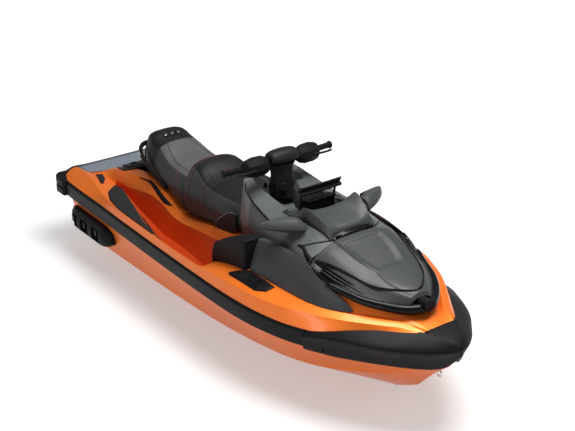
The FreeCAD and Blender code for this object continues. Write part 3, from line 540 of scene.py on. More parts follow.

# %% [markdown]
# ## The deck
# The deck is one moulding from the boarding platform to the nose: the side deck with its raised ridge, the
# footwell, the pedestal under the seats, and forward of those a raised foredeck with a valley between its
# outer crest and the shelf that climbs to the hood. Each station below is the same row of eight points
# from the rail inwards, so the whole deck is one extruded skin. Under the seats, which hide it, the row
# stops short of the middle and leaves an opening. The stations on either side of the footwell's front wall
# stand close together, which makes the wall. The footwell takes painted shade, a darker paint, as a second
# material, standing in for the shadow that falls into the well.

# %% Stations of the deck
# y, then (half-breadth, height) from the rail inwards
DECK = [
    (1484, (530, 386), (403, 386), (335, 386), (300, 386), (290, 386), (262, 386), (235, 386), (0, 386)),
    (1688, (508, 386), (400, 386), (330, 386), (300, 386), (290, 386), (262, 386), (235, 386), (0, 386)),
    (1692, (511, 470), (399, 508), (330, 498), (300, 498), (290, 498), (262, 498), (235, 498), (0, 498)),
    (1684, (512, 474), (400, 513), (332, 500), (300, 500), (290, 500), (262, 500), (235, 500), (0, 500)),
    (1600, (525, 476), (402, 517), (334, 500), (300, 500), (290, 500), (262, 500), (235, 500), (0, 500)),
    (1520, (532, 477), (403, 524), (336, 501), (300, 500), (290, 500), (262, 502), (235, 504), (0, 503)),
    (1476, (536, 478), (405, 530), (338, 503), (300, 497), (288, 495), (262, 505), (225, 528), (0, 529)),
    (1400, (540, 480), (425, 532), (338, 503), (296, 490), (284, 488), (272, 500), (228, 552), (150, 552)),
    (1330, (543, 480), (446, 533), (322, 505), (290, 482), (276, 482), (274, 500), (240, 566), (150, 568)),
    (1250, (546, 480), (470, 533), (318, 507), (300, 469), (284, 468), (280, 500), (242, 585), (150, 586)),
    (1150, (549, 480), (498, 534), (320, 509), (309, 455), (292, 455), (284, 502), (234, 600), (150, 600)),
    (1000, (556, 480), (536, 535), (368, 513), (350, 420), (306, 420), (264, 545), (214, 611), (150, 610)),
    (815, (567, 480), (560, 535), (426, 515), (400, 395), (318, 394), (262, 548), (222, 611), (150, 610)),
    (668, (574, 480), (568, 535), (479, 517), (446, 372), (336, 372), (274, 506), (226, 546), (150, 546)),
    (587, (578, 480), (573, 535), (504, 518), (466, 365), (330, 365), (274, 486), (226, 506), (150, 506)),
    (500, (582, 480), (577, 536), (529, 519), (484, 360), (326, 360), (272, 486), (226, 508), (150, 508)),
    (407, (586, 480), (581, 536), (555, 521), (505, 355), (326, 355), (262, 490), (226, 519), (150, 519)),
    (241, (594, 480), (590, 538), (566, 522), (511, 352), (342, 352), (260, 500), (227, 557), (150, 557)),
    (69, (600, 480), (595, 540), (570, 524), (512, 353), (376, 353), (258, 512), (227, 576), (150, 576)),
    (-60, (605, 480), (598, 542), (573, 525), (512, 356), (386, 356), (254, 502), (222, 582), (150, 582)),
    (-118, (606, 480), (599, 544), (573, 528), (512, 358), (386, 360), (254, 506), (220, 583), (150, 583)),
    (-136, (606, 480), (599, 545), (572, 531), (545, 536), (386, 548), (252, 562), (220, 585), (150, 585)),
    (-250, (610, 480), (602, 553), (538, 568), (500, 572), (386, 580), (250, 588), (220, 592), (0, 592)),
    (-400, (612, 480), (603, 561), (500, 600), (478, 601), (386, 602), (250, 602), (220, 602), (0, 602)),
    (-560, (606, 480), (598, 567), (474, 601), (455, 601), (386, 602), (250, 602), (220, 602), (0, 602)),
    (-700, (594, 480), (586, 571), (451, 601), (436, 600), (386, 602), (250, 602), (220, 602), (0, 602)),
    (-860, (562, 480), (548, 574), (446, 601), (430, 597), (396, 620), (330, 660), (250, 660), (0, 660)),
    (-920, (542, 480), (524, 576), (438, 601), (422, 595), (392, 660), (346, 744), (300, 744), (0, 744)),
    (-974, (520, 482), (499, 578), (430, 601), (412, 594), (378, 650), (343, 706), (300, 706), (0, 706)),
    (-1059, (486, 488), (460, 580), (405, 600), (382, 592), (342, 635), (300, 676), (250, 676), (0, 676)),
    (-1130, (452, 494), (424, 581), (366, 600), (342, 591), (312, 628), (284, 662), (230, 662), (0, 664)),
    (-1210, (408, 500), (374, 582), (311, 600), (290, 589), (274, 620), (258, 652), (200, 652), (0, 656)),
    (-1333, (322, 520), (276, 582), (223, 597), (204, 584), (188, 610), (166, 636), (120, 640), (0, 642)),
    (-1400, (272, 536), (220, 582), (166, 595), (144, 580), (120, 598), (92, 612), (50, 618), (0, 620)),
    (-1442, (240, 546), (184, 582), (136, 593), (108, 577), (84, 586), (58, 592), (30, 595), (0, 596)),
    (-1500, (196, 552), (150, 578), (124, 586), (86, 568), (64, 571), (42, 572), (20, 573), (0, 573)),
    (-1553, (156, 556), (126, 572), (108, 578), (62, 560), (46, 561), (30, 561), (15, 562), (0, 562)),
    (-1600, (110, 540), (95, 552), (82, 556), (45, 543), (34, 544), (22, 544), (10, 545), (0, 545)),
]
deck = skin(profiles(DECK))
crease(deck, lines={(1, 2): 0.78, (3, 4, 6): 0.62, (5,): 0.25},
       stations={(0, 1, 2, 3, 19, 20, 21): 0.9, (15,): 0.6})
crease(deck, lines={(5,): 0.7}, between=(11, 21))
crease(deck, lines={(5,): 0.7}, between=(29, 34))
# the footwell faces take the darker copy of the gelcoat, painted shade for the shadow that falls into the
# well
second_cover(deck, lines=(2, 5), stations=(8, 19))
deck = finish(mirror(deck), "deck_moulding", gelcoat, instead="deck", rise=UP, smooth=2)
deck.data.materials.append(gelcoat_painted_shade)
print("deck", len(deck.data.polygons), "faces before smoothing")

# %% [markdown]
# ## Rub rails, bow guard and corner bumpers
# A black extrusion covers the joint between hull and deck and takes the knocks at a dock. Its section is
# drawn once, with a flat face and a rolled top and bottom edge, and extruded down the side.

# %% Rub rails
RAIL = [(1640, 514), (1480, 535), (1280, 541), (1100, 547), (815, 563), (580, 575), (310, 587), (-60, 602),
        (-400, 609), (-560, 604), (-700, 590), (-860, 557), (-950, 530), (-1028, 498)]
RAIL_SECTION = [(-4, 384), (13, 384), (18, 392), (18.5, 434), (17.6, 472), (11, 484), (-4, 485)]
rails = skin([[(side + out, y, z) for out, z in RAIL_SECTION] for y, side in RAIL], closed=True, ends=True)
crease(rails, lines={(0, 2, 4, 6): 0.8}, stations={(0, len(RAIL) - 1): 1.0})
rails = finish(mirror(rails), "rub_rails", guard_grey, instead="side_rails", smooth=2)
print("rails", len(rails.data.polygons))

# %% [markdown]
# At the bow the rail gives way to a big moulded guard with an overhanging ridge, which wraps the nose. A
# sweep along a curve would keep one section; this one changes all the way along, so it is another skin,
# with the ridge and the lower lip kept as folds.

# %% Bow guard
# y, bottom x and z, ridge x and z, top x and z
GUARD = [
    (-1024, 507, 366, 529, 452, 500, 481), (-1036, 503, 366, 526, 456, 497, 482),
    (-1120, 463, 366, 498, 480, 457, 503), (-1190, 430, 366, 472, 489, 418, 522),
    (-1250, 390, 366, 442, 495, 372, 541), (-1333, 334, 366, 404, 499, 300, 556),
    (-1416, 274, 366, 362, 500, 214, 568), (-1500, 206, 366, 304, 500, 150, 576),
    (-1548, 164, 366, 254, 501, 112, 580), (-1610, 100, 367, 200, 502, 84, 572),
    (-1660, 50, 380, 146, 504, 58, 561), (-1700, 24, 428, 92, 507, 36, 545),
    (-1728, 10, 470, 38, 510, 14, 524), (-1736, 0, 488, 0, 511, 0, 514),
]
rows = []
for y, low_x, low_z, ridge_x, ridge_z, top_x, top_z in GUARD:
    reach, fall, back_in, climb = ridge_x - low_x, ridge_z - low_z, ridge_x - top_x, top_z - ridge_z
    rows.append([
        (max(0, low_x - 24), y, low_z + 10), (low_x, y, low_z),
        (low_x + 0.08 * reach + 2, y, low_z + 0.10 * fall), (low_x + 0.46 * reach, y, low_z + 0.55 * fall),
        (ridge_x - 0.10 * reach, y, ridge_z - 0.14 * fall), (ridge_x, y, ridge_z),
        (ridge_x - 0.10 * back_in, y, ridge_z + 0.22 * climb),
        (ridge_x - 0.52 * back_in, y, ridge_z + 0.62 * climb), (top_x, y, top_z),
        (max(0, top_x - 12), y, top_z - 12)])
guard = skin(rows)
crease(guard, lines={(1, 2, 8): 0.85, (5,): 0.62}, stations={(0, 1): 0.9})
crease(guard, lines={(5,): 0.9}, between=(3, 13))
guard = finish(mirror(guard), "bow_guard_skin", guard_grey, instead="bow_guard", smooth=2)
print("guard", len(guard.data.polygons))

# %% [markdown]
# The flat nose of the guard closes the gap between its two top edges. Its outline follows the deck's
# front edge and the guard's own top edge. A shallow seam parts the nose from the side mouldings; a thin
# dark bead laid into the joint is the simplest way to draw one. One bolt shows on each side.

# %% Nose of the guard and its seams
NOSE = [(-1550, 110, 580), (-1562, 106, 581), (-1610, 84, 572), (-1660, 58, 561), (-1700, 36, 545),
        (-1728, 14, 524)]
rows = [[(x, y, z), (0.75 * x, y - 1, z + 1), (0.4 * x, y - 2, z + 2), (0, y - 2, z + 2)] for y, x, z in NOSE]
tucked_in = [(x, y + 4, z - 14) for x, y, z in rows[0]]
nose = skin([tucked_in] + rows)
crease(nose, stations={(1,): 0.9})
nose = finish(mirror(nose), "guard_nose", guard_grey, rise=UP, smooth=2)


def heading(points, k):
    """The way a line of points runs at one of them."""
    return Vector(points[min(k + 1, len(points) - 1)]) - Vector(points[max(k - 1, 0)])


def bead(points, width, lift, name, material):
    """A thin bead along a line of points, drawn to a narrow end."""
    rows = []
    for k, point in enumerate(points):
        ahead = heading(points, k)
        side = Vector((-ahead.y, ahead.x, 0)).normalized()
        over = ahead.cross(side).normalized()
        over *= math.copysign(lift, over.z)
        side *= width / 2 * (0.35 if k in (0, len(points) - 1) else 1)
        rows.append([Vector(point) + side * out + over * rise
                     for out, rise in ((-1, -1), (-0.7, 1), (0.7, 1), (1, -1))])
    return finish(mirror(skin(rows, closed=True, ends=True)), name, material, slot="", smooth=1)


bead([(110, -1556, 581), (104, -1600, 563), (92, -1650, 540), (74, -1690, 526)], 5, 1.6, "guard_seams",
     moulded_black)
bolt = new_mesh()
turn = Matrix.Translation(place(465, -1134, 391)) @ Matrix.Rotation(math.radians(90), 4, "Y")
bmesh.ops.create_cone(bolt, cap_ends=True, segments=16, radius1=0.010, radius2=0.007, depth=0.008,
                      matrix=turn)
finish(mirror(bolt), "guard_bolts", moulded_black, slot="rubber_black", fold=30)
print("nose", len(nose.data.polygons))

# %% [markdown]
# The stern corners wear thick soft bumpers. Each is an outline seen from above, pushed up in two tiers
# with a slightly smaller core between them, and rounded over by a wide bevel.

# %% Corner bumpers
CORNER = [(380, 1688, 380), (430, 1708, 380), (512, 1712, 380), (546, 1688, 380), (565, 1644, 380),
          (566, 1552, 380), (532, 1540, 380), (508, 1600, 380), (480, 1660, 380)]
OUTER_SIDE, REAR_SIDE, CORE_INSET = 500, 1670, 6
low = block(CORNER, (0, 0, 56))
high = block([(x, y, 444) for x, y, z in CORNER], (0, 0, 54))
core = block([(x - CORE_INSET * (x > OUTER_SIDE), y - CORE_INSET * (y > REAR_SIDE), 430)
              for x, y, z in CORNER], (0, 0, 26))
bumpers = finish(mirror(join(low, high, core)), "corner_bumper_pads", moulded_black, slot="rubber_black",
                 instead="corner_bumpers", bevel=12, steps=3)
print("bumpers", len(bumpers.data.polygons))

# %% [markdown]
# ## Sponsons
# These fins low on the quarters steady the craft in a turn. Each is a shelf-like moulding with three
# deep pockets along its outer face, where a hand or a hook can hold. The body is a skin; the pockets are
# made by insetting faces of the outer side and pushing them in.

# %% Sponsons
# y, outer x, low z, high z
SPONSON = [(1462, 556, 250, 330), (1440, 572, 226, 346), (1395, 588, 208, 352), (1345, 591, 206, 352),
           (1300, 592, 206, 352), (1245, 593, 206, 352), (1200, 594, 206, 352), (1145, 596, 206, 352),
           (1100, 597, 206, 352), (1050, 598, 206, 352), (1010, 598, 208, 350), (965, 588, 222, 336),
           (928, 566, 246, 310)]
POCKETS_FROM, POCKET_RIM, POCKET_DEPTH = (1, 4, 7), 0.008, (-0.034, 0.006, 0.012)
rows = [[(x - 74, y, low), (x - 26, y, low), (x - 8, y, low + 12), (x, y, low + 0.34 * (high - low)),
         (x - 2, y, low + 0.72 * (high - low)), (x - 20, y, high), (x - 62, y, high)]
        for y, x, low, high in SPONSON]
sponson = skin(rows, closed=True, ends=True)
line, station = numbering(sponson)
for first in POCKETS_FROM:
    chosen = [face for face in sponson.faces
              if {v[line] for v in face.verts} in ({2, 3}, {3, 4})
              and {v[station] for v in face.verts} in ({first, first + 1}, {first + 1, first + 2})]
    bmesh.ops.inset_region(sponson, faces=chosen, thickness=POCKET_RIM, depth=0)
    bmesh.ops.translate(sponson, verts=list({v for f in chosen for v in f.verts}), vec=POCKET_DEPTH)
sponsons = finish(mirror(sponson), "sponson_fins", moulded_black, instead="sponsons", bevel=3)
ribs = [block([(592, y + 9, 262), (594, y - 22, 262), (562, y - 22, 240), (562, y + 9, 240)], (0, 0, 40))
        for y in (1392, 1250, 1098)]
finish(mirror(join(*ribs)), "sponson_ribs", guard_grey, slot="black_plastic", bevel=2.5)
print("sponsons", len(sponsons.data.polygons))

# %% [markdown]
# ## Kick pads
# A black box stands at the front of each footwell, where the rider braces a foot. It is an outline seen
# from the side, pushed through and rounded by a bevel.

# %% Kick pads
KICK = [(-100, 470), (-100, 596), (-126, 664), (-322, 758), (-432, 784), (-438, 560), (-300, 470)]
pad = block([(347, y, z) for y, z in KICK], (131, 0, 0))
kick = finish(mirror(pad), "kick_pad_covers", moulded_black, instead="kick_pads", bevel=12, steps=3)
print("kick pads", len(kick.data.polygons))

# %% [markdown]
# ## Pieces laid on the deck
# Mats, pads and outlet frames follow the deck they lie on. Drawing each one to fit would repeat the deck's
# table; instead an outline is cut from above, sliced into a grid so that it can bend, and dropped onto the
# finished deck by casting rays down at it. A Solidify modifier then gives the sheet its thickness.

# %% Drape an outline over a surface
ABOVE = 1300


def surface_of(piece):
    """A search tree of a finished piece, with its modifiers."""
    bpy.context.view_layer.update()
    return BVHTree.FromObject(piece, bpy.context.evaluated_depsgraph_get())


def nearest(tree, point, lift):
    """The nearest place of a surface to a point, lifted off it, in millimetres from the keel."""
    spot, normal, face, gap = tree.find_nearest(place(*point))
    return measure(spot + normal * lift / 1000)


def drape(outline, tree, lift=1.5, grid=40, inset=0, level=None, least=0):
    """A sheet cut to an outline of (x, y), as a bmesh. It drops onto a surface, or lies level if asked.
    Rays are cast no nearer to the centreline than least, where an opening would let them through."""
    bm = new_mesh()
    bm.faces.new([bm.verts.new(place(x, y, ABOVE)) for x, y in outline])
    if inset:
        bmesh.ops.bevel(bm, geom=bm.verts[:], offset=inset / 1000, offset_type="OFFSET", segments=4,
                        profile=0.5, material=-1, affect="VERTICES")
    for axis, way in enumerate((Vector((1, 0, 0)), Vector((0, 1, 0)))):
        low, high = min(p[axis] for p in outline), max(p[axis] for p in outline)
        cuts = int((high - low) / grid) + 1
        for k in range(1, cuts):
            bmesh.ops.bisect_plane(bm, geom=bm.verts[:] + bm.edges[:] + bm.faces[:], dist=0.00001,
                                   plane_co=way * (low + (high - low) * k / cuts) / 1000, plane_no=way)
    for vert in bm.verts:
        start = Vector((math.copysign(max(abs(vert.co.x), least / 1000), vert.co.x), *vert.co.yz))
        hit = tree.ray_cast(start, -Vector(UP))[0]
        if level is not None:
            vert.co.z = place(0, 0, level).z
        elif hit:
            vert.co.z = hit.z + lift / 1000
    return bm


def matting(sheet, name, material, node, thickness):
    """A draped sheet, mirrored and given a thickness of foam."""
    piece = finish(mirror(sheet), name, material, instead=node, rise=UP, fold=60)
    foam = piece.modifiers.new("Foam", "SOLIDIFY")
    foam.thickness, foam.offset = thickness / 1000, 1
    return piece


on_deck = surface_of(deck)
WEDGE = [(330, 1242), (392, 1192), (457, 1131), (518, 1003), (548, 844), (560, 640), (568, 470), (573, 392),
         (562, 420), (538, 500), (514, 587), (488, 668), (437, 815), (378, 1000), (331, 1150)]
CORNER_PAD = [(337, 1496), (290, 1486), (318, 1404), (384, 1306), (411, 1288), (404, 1326)]
WELL = [(320, 1090), (346, 1004), (394, 820), (440, 668), (470, 520), (486, 407), (490, 240), (490, 69),
        (490, -104), (424, -104), (420, 69), (414, 240), (408, 407), (400, 520), (384, 668), (356, 820),
        (328, 1000), (316, 1070)]
REAR = [(378, 1684), (374, 1660), (364, 1572), (338, 1548), (256, 1520), (242, 1500), (238, 1484), (0, 1484),
        (0, 1684)]
wedge = drape(WEDGE, on_deck, lift=2.5, inset=8)
corner_pad = drape(CORNER_PAD, on_deck, lift=0.5, inset=6)
pads = matting(join(wedge, corner_pad), "gunwale_mats", mat_dark, "gunwale_pads", 4)
wells = matting(drape(WELL, on_deck, lift=0.5, inset=10), "footwell_matting", mat_dark, "footwell_mats", 6)
rear_mat = matting(drape(REAR, on_deck, level=501), "boarding_mat", mat_grey, "rear_mat", 9)
print("mats", len(pads.data.polygons), len(wells.data.polygons), len(rear_mat.data.polygons))

# %% [markdown]
# The air outlets in the side deck are flat black frames that lie on it, with four dark mouths in each. The
# mouths are draped over the frame in the same way as the frame is draped over the deck.

# %% Side outlets
FRAME = [(546, -372), (557, -390), (556, -640), (520, -697), (468, -705), (462, -600), (462, -456)]
MOUTHS = [[(500, -500), (474, -526), (479, -568), (506, -560)],
          [(507, -574), (480, -580), (482, -618), (512, -616)],
          [(536, -506), (514, -524), (514, -558), (538, -560)],
          [(539, -576), (516, -574), (518, -618), (541, -622)]]
outlet = finish(mirror(drape(FRAME, on_deck, lift=6, grid=30)), "side_outlets", moulded_black,
                instead="side_vents", rise=UP, wall=10, fold=50)
on_outlet = surface_of(outlet)
finish(mirror(join(*[drape(mouth, on_outlet, lift=1.2, grid=12) for mouth in MOUTHS])),
       "side_outlet_mouths", gloss_black, slot="", rise=UP, fold=50)
print("outlets", len(outlet.data.polygons))

# %% [markdown]
# ## Side panels
# A satin grey panel closes each flank of the console. A soft S-shaped fold runs down it from the top rear
# corner to its front tip: below the fold the panel faces outboard, above it the panel rolls over towards
# the hood. The fold is one line of the skin, half creased, so that it stays soft.

# %% Side panels
# y, then lower edge, flank, upper flank, fold, upper edge, inner edge as (half-breadth, height)
PANEL = [
    (-448, (452, 600), (440, 650), (414, 724), (392, 776), (388, 782), (350, 780)),
    (-458, (455, 601), (441, 652), (415, 726), (394, 778), (389, 784), (350, 782)),
    (-560, (453, 602), (440, 655), (414, 728), (384, 788), (374, 795), (352, 792)),
    (-670, (449, 602), (438, 652), (414, 722), (374, 790), (363, 799), (352, 796)),
    (-750, (446, 602), (436, 646), (416, 702), (380, 764), (358, 792), (352, 790)),
    (-830, (441, 602), (431, 640), (416, 684), (392, 724), (354, 780), (350, 778)),
    (-900, (434, 602), (425, 634), (413, 668), (396, 700), (352, 766), (348, 764)),
    (-965, (424, 602), (415, 628), (404, 656), (388, 684), (346, 736), (342, 733)),
    (-1030, (410, 601), (401, 622), (390, 644), (376, 664), (338, 700), (334, 697)),
    (-1090, (384, 601), (376, 615), (366, 630), (354, 644), (324, 668), (320, 665)),
    (-1145, (342, 600), (337, 607), (331, 616), (324, 625), (309, 640), (305, 636)),
    (-1190, (306, 603), (305, 604), (304, 606), (303, 608), (301, 610), (299, 607)),
]
panel = skin(profiles(PANEL))
crease(panel, lines={(3,): 0.6, (0, 4): 0.8}, stations={(0, 1, 11): 0.9})
panel = finish(mirror(panel), "side_panel_skins", satin_grey, instead="side_panels", wall=5, smooth=2)
print("side panels", len(panel.data.polygons))

# %% [markdown]
# ## Console
# The console carries the steering column between two tall horns and falls forward to the hood. Its section
# goes up the flank to a sharp ridge and down into a valley in the middle. The ridge is the strongest
# fold; the shoulder below it is softer. The first station lies on the floor behind the horns and makes
# the wall that faces the rider. The rear flank takes a paler paint, which a second material slot gives it.

# %% Console
# y, then base, shoulder, flank, outer ridge, inner ridge, valley wall, valley, middle
CONSOLE = [
    (-58, (212, 590), (222, 600), (216, 620), (206, 640), (190, 640), (170, 640), (150, 640), (0, 640)),
    (-60, (212, 600), (236, 722), (226, 852), (202, 974), (150, 970), (138, 905), (126, 840), (0, 838)),
    (-66, (214, 600), (238, 724), (229, 856), (206, 984), (147, 979), (136, 908), (125, 840), (0, 838)),
    (-122, (233, 600), (260, 722), (258, 836), (241, 926), (156, 948), (140, 905), (124, 840), (0, 838)),
    (-180, (246, 600), (272, 722), (270, 826), (252, 906), (154, 934), (140, 898), (124, 840), (0, 836)),
    (-300, (271, 600), (294, 727), (288, 812), (270, 882), (158, 918), (146, 880), (132, 834), (0, 826)),
    (-432, (300, 600), (324, 732), (308, 800), (288, 862), (166, 908), (154, 868), (140, 806), (0, 798)),
    (-437, (301, 600), (325, 732), (309, 800), (289, 861), (213, 900), (211, 860), (208, 806), (0, 796)),
    (-520, (310, 600), (334, 735), (318, 792), (298, 838), (214, 898), (212, 850), (209, 800), (0, 790)),
    (-620, (321, 600), (343, 736), (326, 784), (304, 818), (214, 912), (212, 860), (208, 796), (0, 786)),
    (-730, (326, 600), (346, 730), (330, 774), (306, 803), (186, 890), (182, 850), (176, 792), (0, 784)),
    (-800, (329, 600), (346, 724), (332, 766), (304, 796), (160, 864), (155, 830), (148, 790), (0, 784)),
    (-836, (330, 600), (346, 722), (332, 762), (302, 792), (150, 846), (146, 820), (142, 788), (0, 784)),
]
HORN_LEAN, HORN_FROM = (-0.012, 0.024, -0.014), 0.70
console = skin(profiles(CONSOLE))
crease(console, lines={(1,): 0.62, (3, 4, 6): 0.75}, stations={(0, 1, 2, 6, 7, 12): 0.85})
for vert in console.verts:
    if vert[numbering(console)[1]] in (1, 2) and vert.co.z > HORN_FROM:
        vert.co += Vector(HORN_LEAN)
second_cover(console, lines=(1, 3), stations=(0, 4))
console = finish(mirror(console), "console_shell", console_grey, instead="console", rise=UP, smooth=2)
console.data.materials.append(satin_light)
print("console", len(console.data.polygons))

# %% [markdown]
# ## Hood
# The hood's middle is raised, with a shallow dish in it, and its sides fold down to a black trim band.
# Dish, raised middle and side fold are three pairs of lines in the same skin; only the heights between
# them change from station to station.

# %% Hood
# y, then base, shoulder, side, edge fold, step foot, step top, dish edge, middle
HOOD = [
    (-846, (330, 640), (345, 738), (298, 794), (238, 830), (164, 848), (152, 856), (118, 860), (0, 864)),
    (-852, (330, 640), (344, 737), (297, 794), (237, 831), (164, 849), (152, 858), (118, 861), (0, 865)),
    (-892, (327, 640), (341, 731), (296, 780), (236, 824), (162, 840), (150, 851), (117, 855), (0, 858)),
    (-908, (326, 640), (339, 729), (294, 776), (234, 820), (161, 837), (149, 848), (114, 842), (0, 845)),
    (-987, (320, 640), (330, 715), (285, 760), (225, 800), (158, 817), (146, 828), (110, 820), (0, 824)),
    (-1060, (300, 640), (312, 703), (266, 738), (208, 778), (142, 794), (130, 804), (94, 795), (0, 798)),
    (-1128, (280, 640), (295, 692), (249, 724), (195, 758), (122, 774), (108, 782), (70, 773), (0, 774)),
    (-1148, (272, 640), (286, 689), (241, 719), (188, 753), (112, 769), (98, 777), (62, 778), (0, 780)),
    (-1230, (225, 640), (240, 679), (202, 700), (155, 736), (122, 746), (112, 753), (80, 756), (0, 760)),
    (-1290, (190, 640), (205, 670), (172, 688), (130, 722), (104, 731), (94, 738), (66, 743), (0, 747)),
    (-1345, (136, 640), (148, 662), (128, 680), (100, 709), (78, 716), (66, 722), (44, 727), (0, 732)),
    (-1388, (90, 640), (100, 655), (88, 672), (70, 699), (52, 704), (42, 708), (26, 713), (0, 717)),
    (-1400, (84, 640), (92, 648), (80, 660), (62, 680), (46, 686), (36, 689), (22, 692), (0, 694)),
]
hood = skin(profiles(HOOD))
crease(hood, lines={(1,): 0.6, (2, 3): 0.25, (4, 5, 6): 0.7}, stations={(0, 1, 11): 0.8, (2, 3, 6, 7): 0.5})
hood = finish(mirror(hood), "hood_shell", satin_grey, instead="hood", rise=UP, smooth=2)
print("hood", len(hood.data.polygons))

# %% [markdown]
# ## Hood trim
# A polished black band wraps the hood's lower edge, with a channel along it and a rounded bar at its foot.
# Each station is a straight line from the band's lower edge to its upper one, and one list says how far the
# face stands out from that line.

# %% Trim band
# lower edge and upper edge of the band, each as (half-breadth, y, height)
BAND = [
    ((350, -884, 770), (304, -862, 790)), ((359, -925, 744), (280, -915, 789)),
    ((355, -985, 708), (254, -990, 783)), ((315, -1062, 680), (228, -1078, 763)),
    ((289, -1130, 666), (206, -1150, 745)), ((265, -1200, 654), (184, -1212, 733)),
    ((221, -1270, 645), (146, -1266, 731)), ((169, -1337, 636), (98, -1310, 731)),
    ((107, -1390, 622), (52, -1349, 729)), ((42, -1423, 606), (22, -1366, 727)),
    ((0, -1431, 600), (0, -1371, 727)),
]
# how far up the band, and how far out from it
BAND_FACE = [(0.0, -10), (0.0, 2), (0.08, 8), (0.22, 8), (0.30, -4), (0.60, -9), (0.86, -2), (0.93, 5),
             (1.0, 4), (1.0, -8)]
BAND = [(Vector(low), Vector(high)) for low, high in BAND]
rows = []
for low, high in BAND:
    tilt = (high - low).cross(Vector((0, 1, 0.0001))).normalized()
    out = Vector((abs(tilt.x), -0.35 * abs(tilt.x) if low.x < 200 else 0, abs(tilt.z))).normalized()
    rows.append([low.lerp(high, t) + out * lift for t, lift in BAND_FACE])
band = skin(rows)
crease(band, lines={(3, 4, 6, 7, 8): 0.7}, stations={(0,): 0.8})
band = finish(mirror(band), "hood_band", gloss_black, instead="hood_trim", smooth=2)


def tube(points, radii, sides=12):
    """A round bar through points, extruded ring by ring; each ring is turned to meet the one before."""
    rows = []
    for k, (point, size) in enumerate(zip(points, radii)):
        turn = heading(points, k).normalized().to_track_quat("Z", "Y")
        angles = [2 * math.pi * n / sides for n in range(sides)]
        ring = [turn @ Vector((size * math.cos(a), size * math.sin(a), 0)) for a in angles]
        if rows:
            before = [(p - Vector(points[k - 1])).normalized() for p in rows[-1]]
            shift = min(range(sides), key=lambda s: sum(
                (ring[(n + s) % sides].normalized() - before[n]).length for n in range(0, sides, 3)))
            ring = ring[shift:] + ring[:shift]
        rows.append([Vector(point) + r for r in ring])
    return skin(rows, closed=True, ends=True)


foot = [low.lerp(high, 0.12) + Vector((6, -8, 4)) for low, high in BAND[2:9]]
foot_bar = tube(foot + [(60, -1428, 642), (20, -1446, 652)], [12, 18, 23, 25, 27, 28, 29, 31, 31], sides=14)
finish(mirror(foot_bar), "hood_foot_bar", gloss_black, smooth=1)
print("band", len(band.data.polygons))

# %% [markdown]
# Three long blades lie in the channel, and a round plug closes the nose, where it is left bare. The blades
# are thin bars drawn to a narrow end; the plug is a short cylinder whose face is inset twice for its rim.

# %% Blades and nose plug
blades = []
for t, drift, stop in ((0.42, 0.02, 6), (0.60, 0.04, 6), (0.78, 0.06, 5)):
    points = [BAND[k][0].lerp(BAND[k][1], t - drift * (k - 1)) + Vector((4, -2, 3)) for k in range(1, stop)]
    blades.append(tube(points, [4] + [10] * (len(points) - 2) + [4], sides=6))
finish(mirror(join(*blades)), "hood_blades", gloss_black, smooth=1)
facing = Matrix.Translation(place(0, -1440, 664)) @ Matrix.Rotation(math.radians(90), 4, "X")
plug = new_mesh()
bmesh.ops.create_cone(plug, cap_ends=True, segments=48, radius1=0.036, radius2=0.036, depth=0.060,
                      matrix=facing)
front = min(plug.faces, key=lambda f: f.calc_center_median().y)
for rim, depth in ((0.006, 0.002), (0.003, -0.004)):
    bmesh.ops.inset_region(plug, faces=[front], thickness=rim, depth=depth)
plug = finish(plug, "nose_plug", moulded_black, instead="nose_badge", bevel=1.5)
print("nose plug", len(plug.data.polygons))

# %% [markdown]
# ## Storage lid
# The cowl ahead of the bars is the lid of the storage bin: it hinges at its front edge and carries the
# gauge, the wind deflector and both mirrors. Its section climbs from the base to a side fold and over the
# top; at the gauge well the inner lines drop straight down, which makes the well's walls. The front
# stations lean: their upper points stand further aft than their base.

# %% Cowl
def on_lid(bm, name, material, **others):
    """A piece that lifts with the lid."""
    return finish(bm, name, material, body="storage_lid", **others)


# y, then base, side fold, top fold, rim, well wall, middle
COWL = [
    (-833, (138, 828), (164, 842), (132, 866), (70, 876), (66, 876), (0, 880)),
    (-829, (138, 822), (166, 850), (134, 880), (70, 888), (66, 888), (0, 892)),
    (-812, (140, 814), (170, 872), (146, 902), (80, 902), (76, 902), (0, 904)),
    (-770, (148, 810), (178, 892), (158, 930), (96, 914), (92, 914), (0, 912)),
    (-700, (166, 808), (190, 916), (175, 962), (112, 932), (108, 932), (0, 922)),
    (-646, (184, 805), (202, 932), (190, 986), (128, 950), (124, 949), (0, 931)),
    (-606, (192, 800), (206, 934), (193, 984), (134, 955), (130, 952), (0, 934)),
    (-598, (193, 800), (206, 930), (192, 978), (134, 950), (130, 884), (0, 882)),
    (-570, (196, 800), (206, 916), (190, 940), (150, 930), (144, 884), (0, 882)),
    (-520, (200, 800), (205, 905), (186, 918), (160, 912), (154, 884), (0, 882)),
    (-470, (200, 800), (203, 890), (182, 908), (162, 904), (156, 884), (0, 882)),
    (-450, (200, 800), (201, 872), (180, 902), (160, 900), (154, 890), (0, 888)),
    (-441, (200, 800), (200, 861), (178, 896), (158, 894), (152, 890), (0, 888)),
    (-439, (200, 800), (200, 830), (178, 830), (158, 830), (152, 830), (0, 830)),
]
SET_BACK = (27, 27, 22, 8)
rows = profiles(COWL)
for row, aft in zip(rows, SET_BACK):
    row[2:] = [(x, y + aft, z) for x, y, z in row[2:]]
cowl = skin(rows)
crease(cowl, lines={(1, 2): 0.8}, stations={(1, 6, 7, 12, 13): 0.8})
crease(cowl, lines={(3, 4): 0.8}, between=(6, 13))
cowl = on_lid(mirror(cowl), "cowl_shell", satin_grey, instead="cowl", rise=UP, smooth=2)
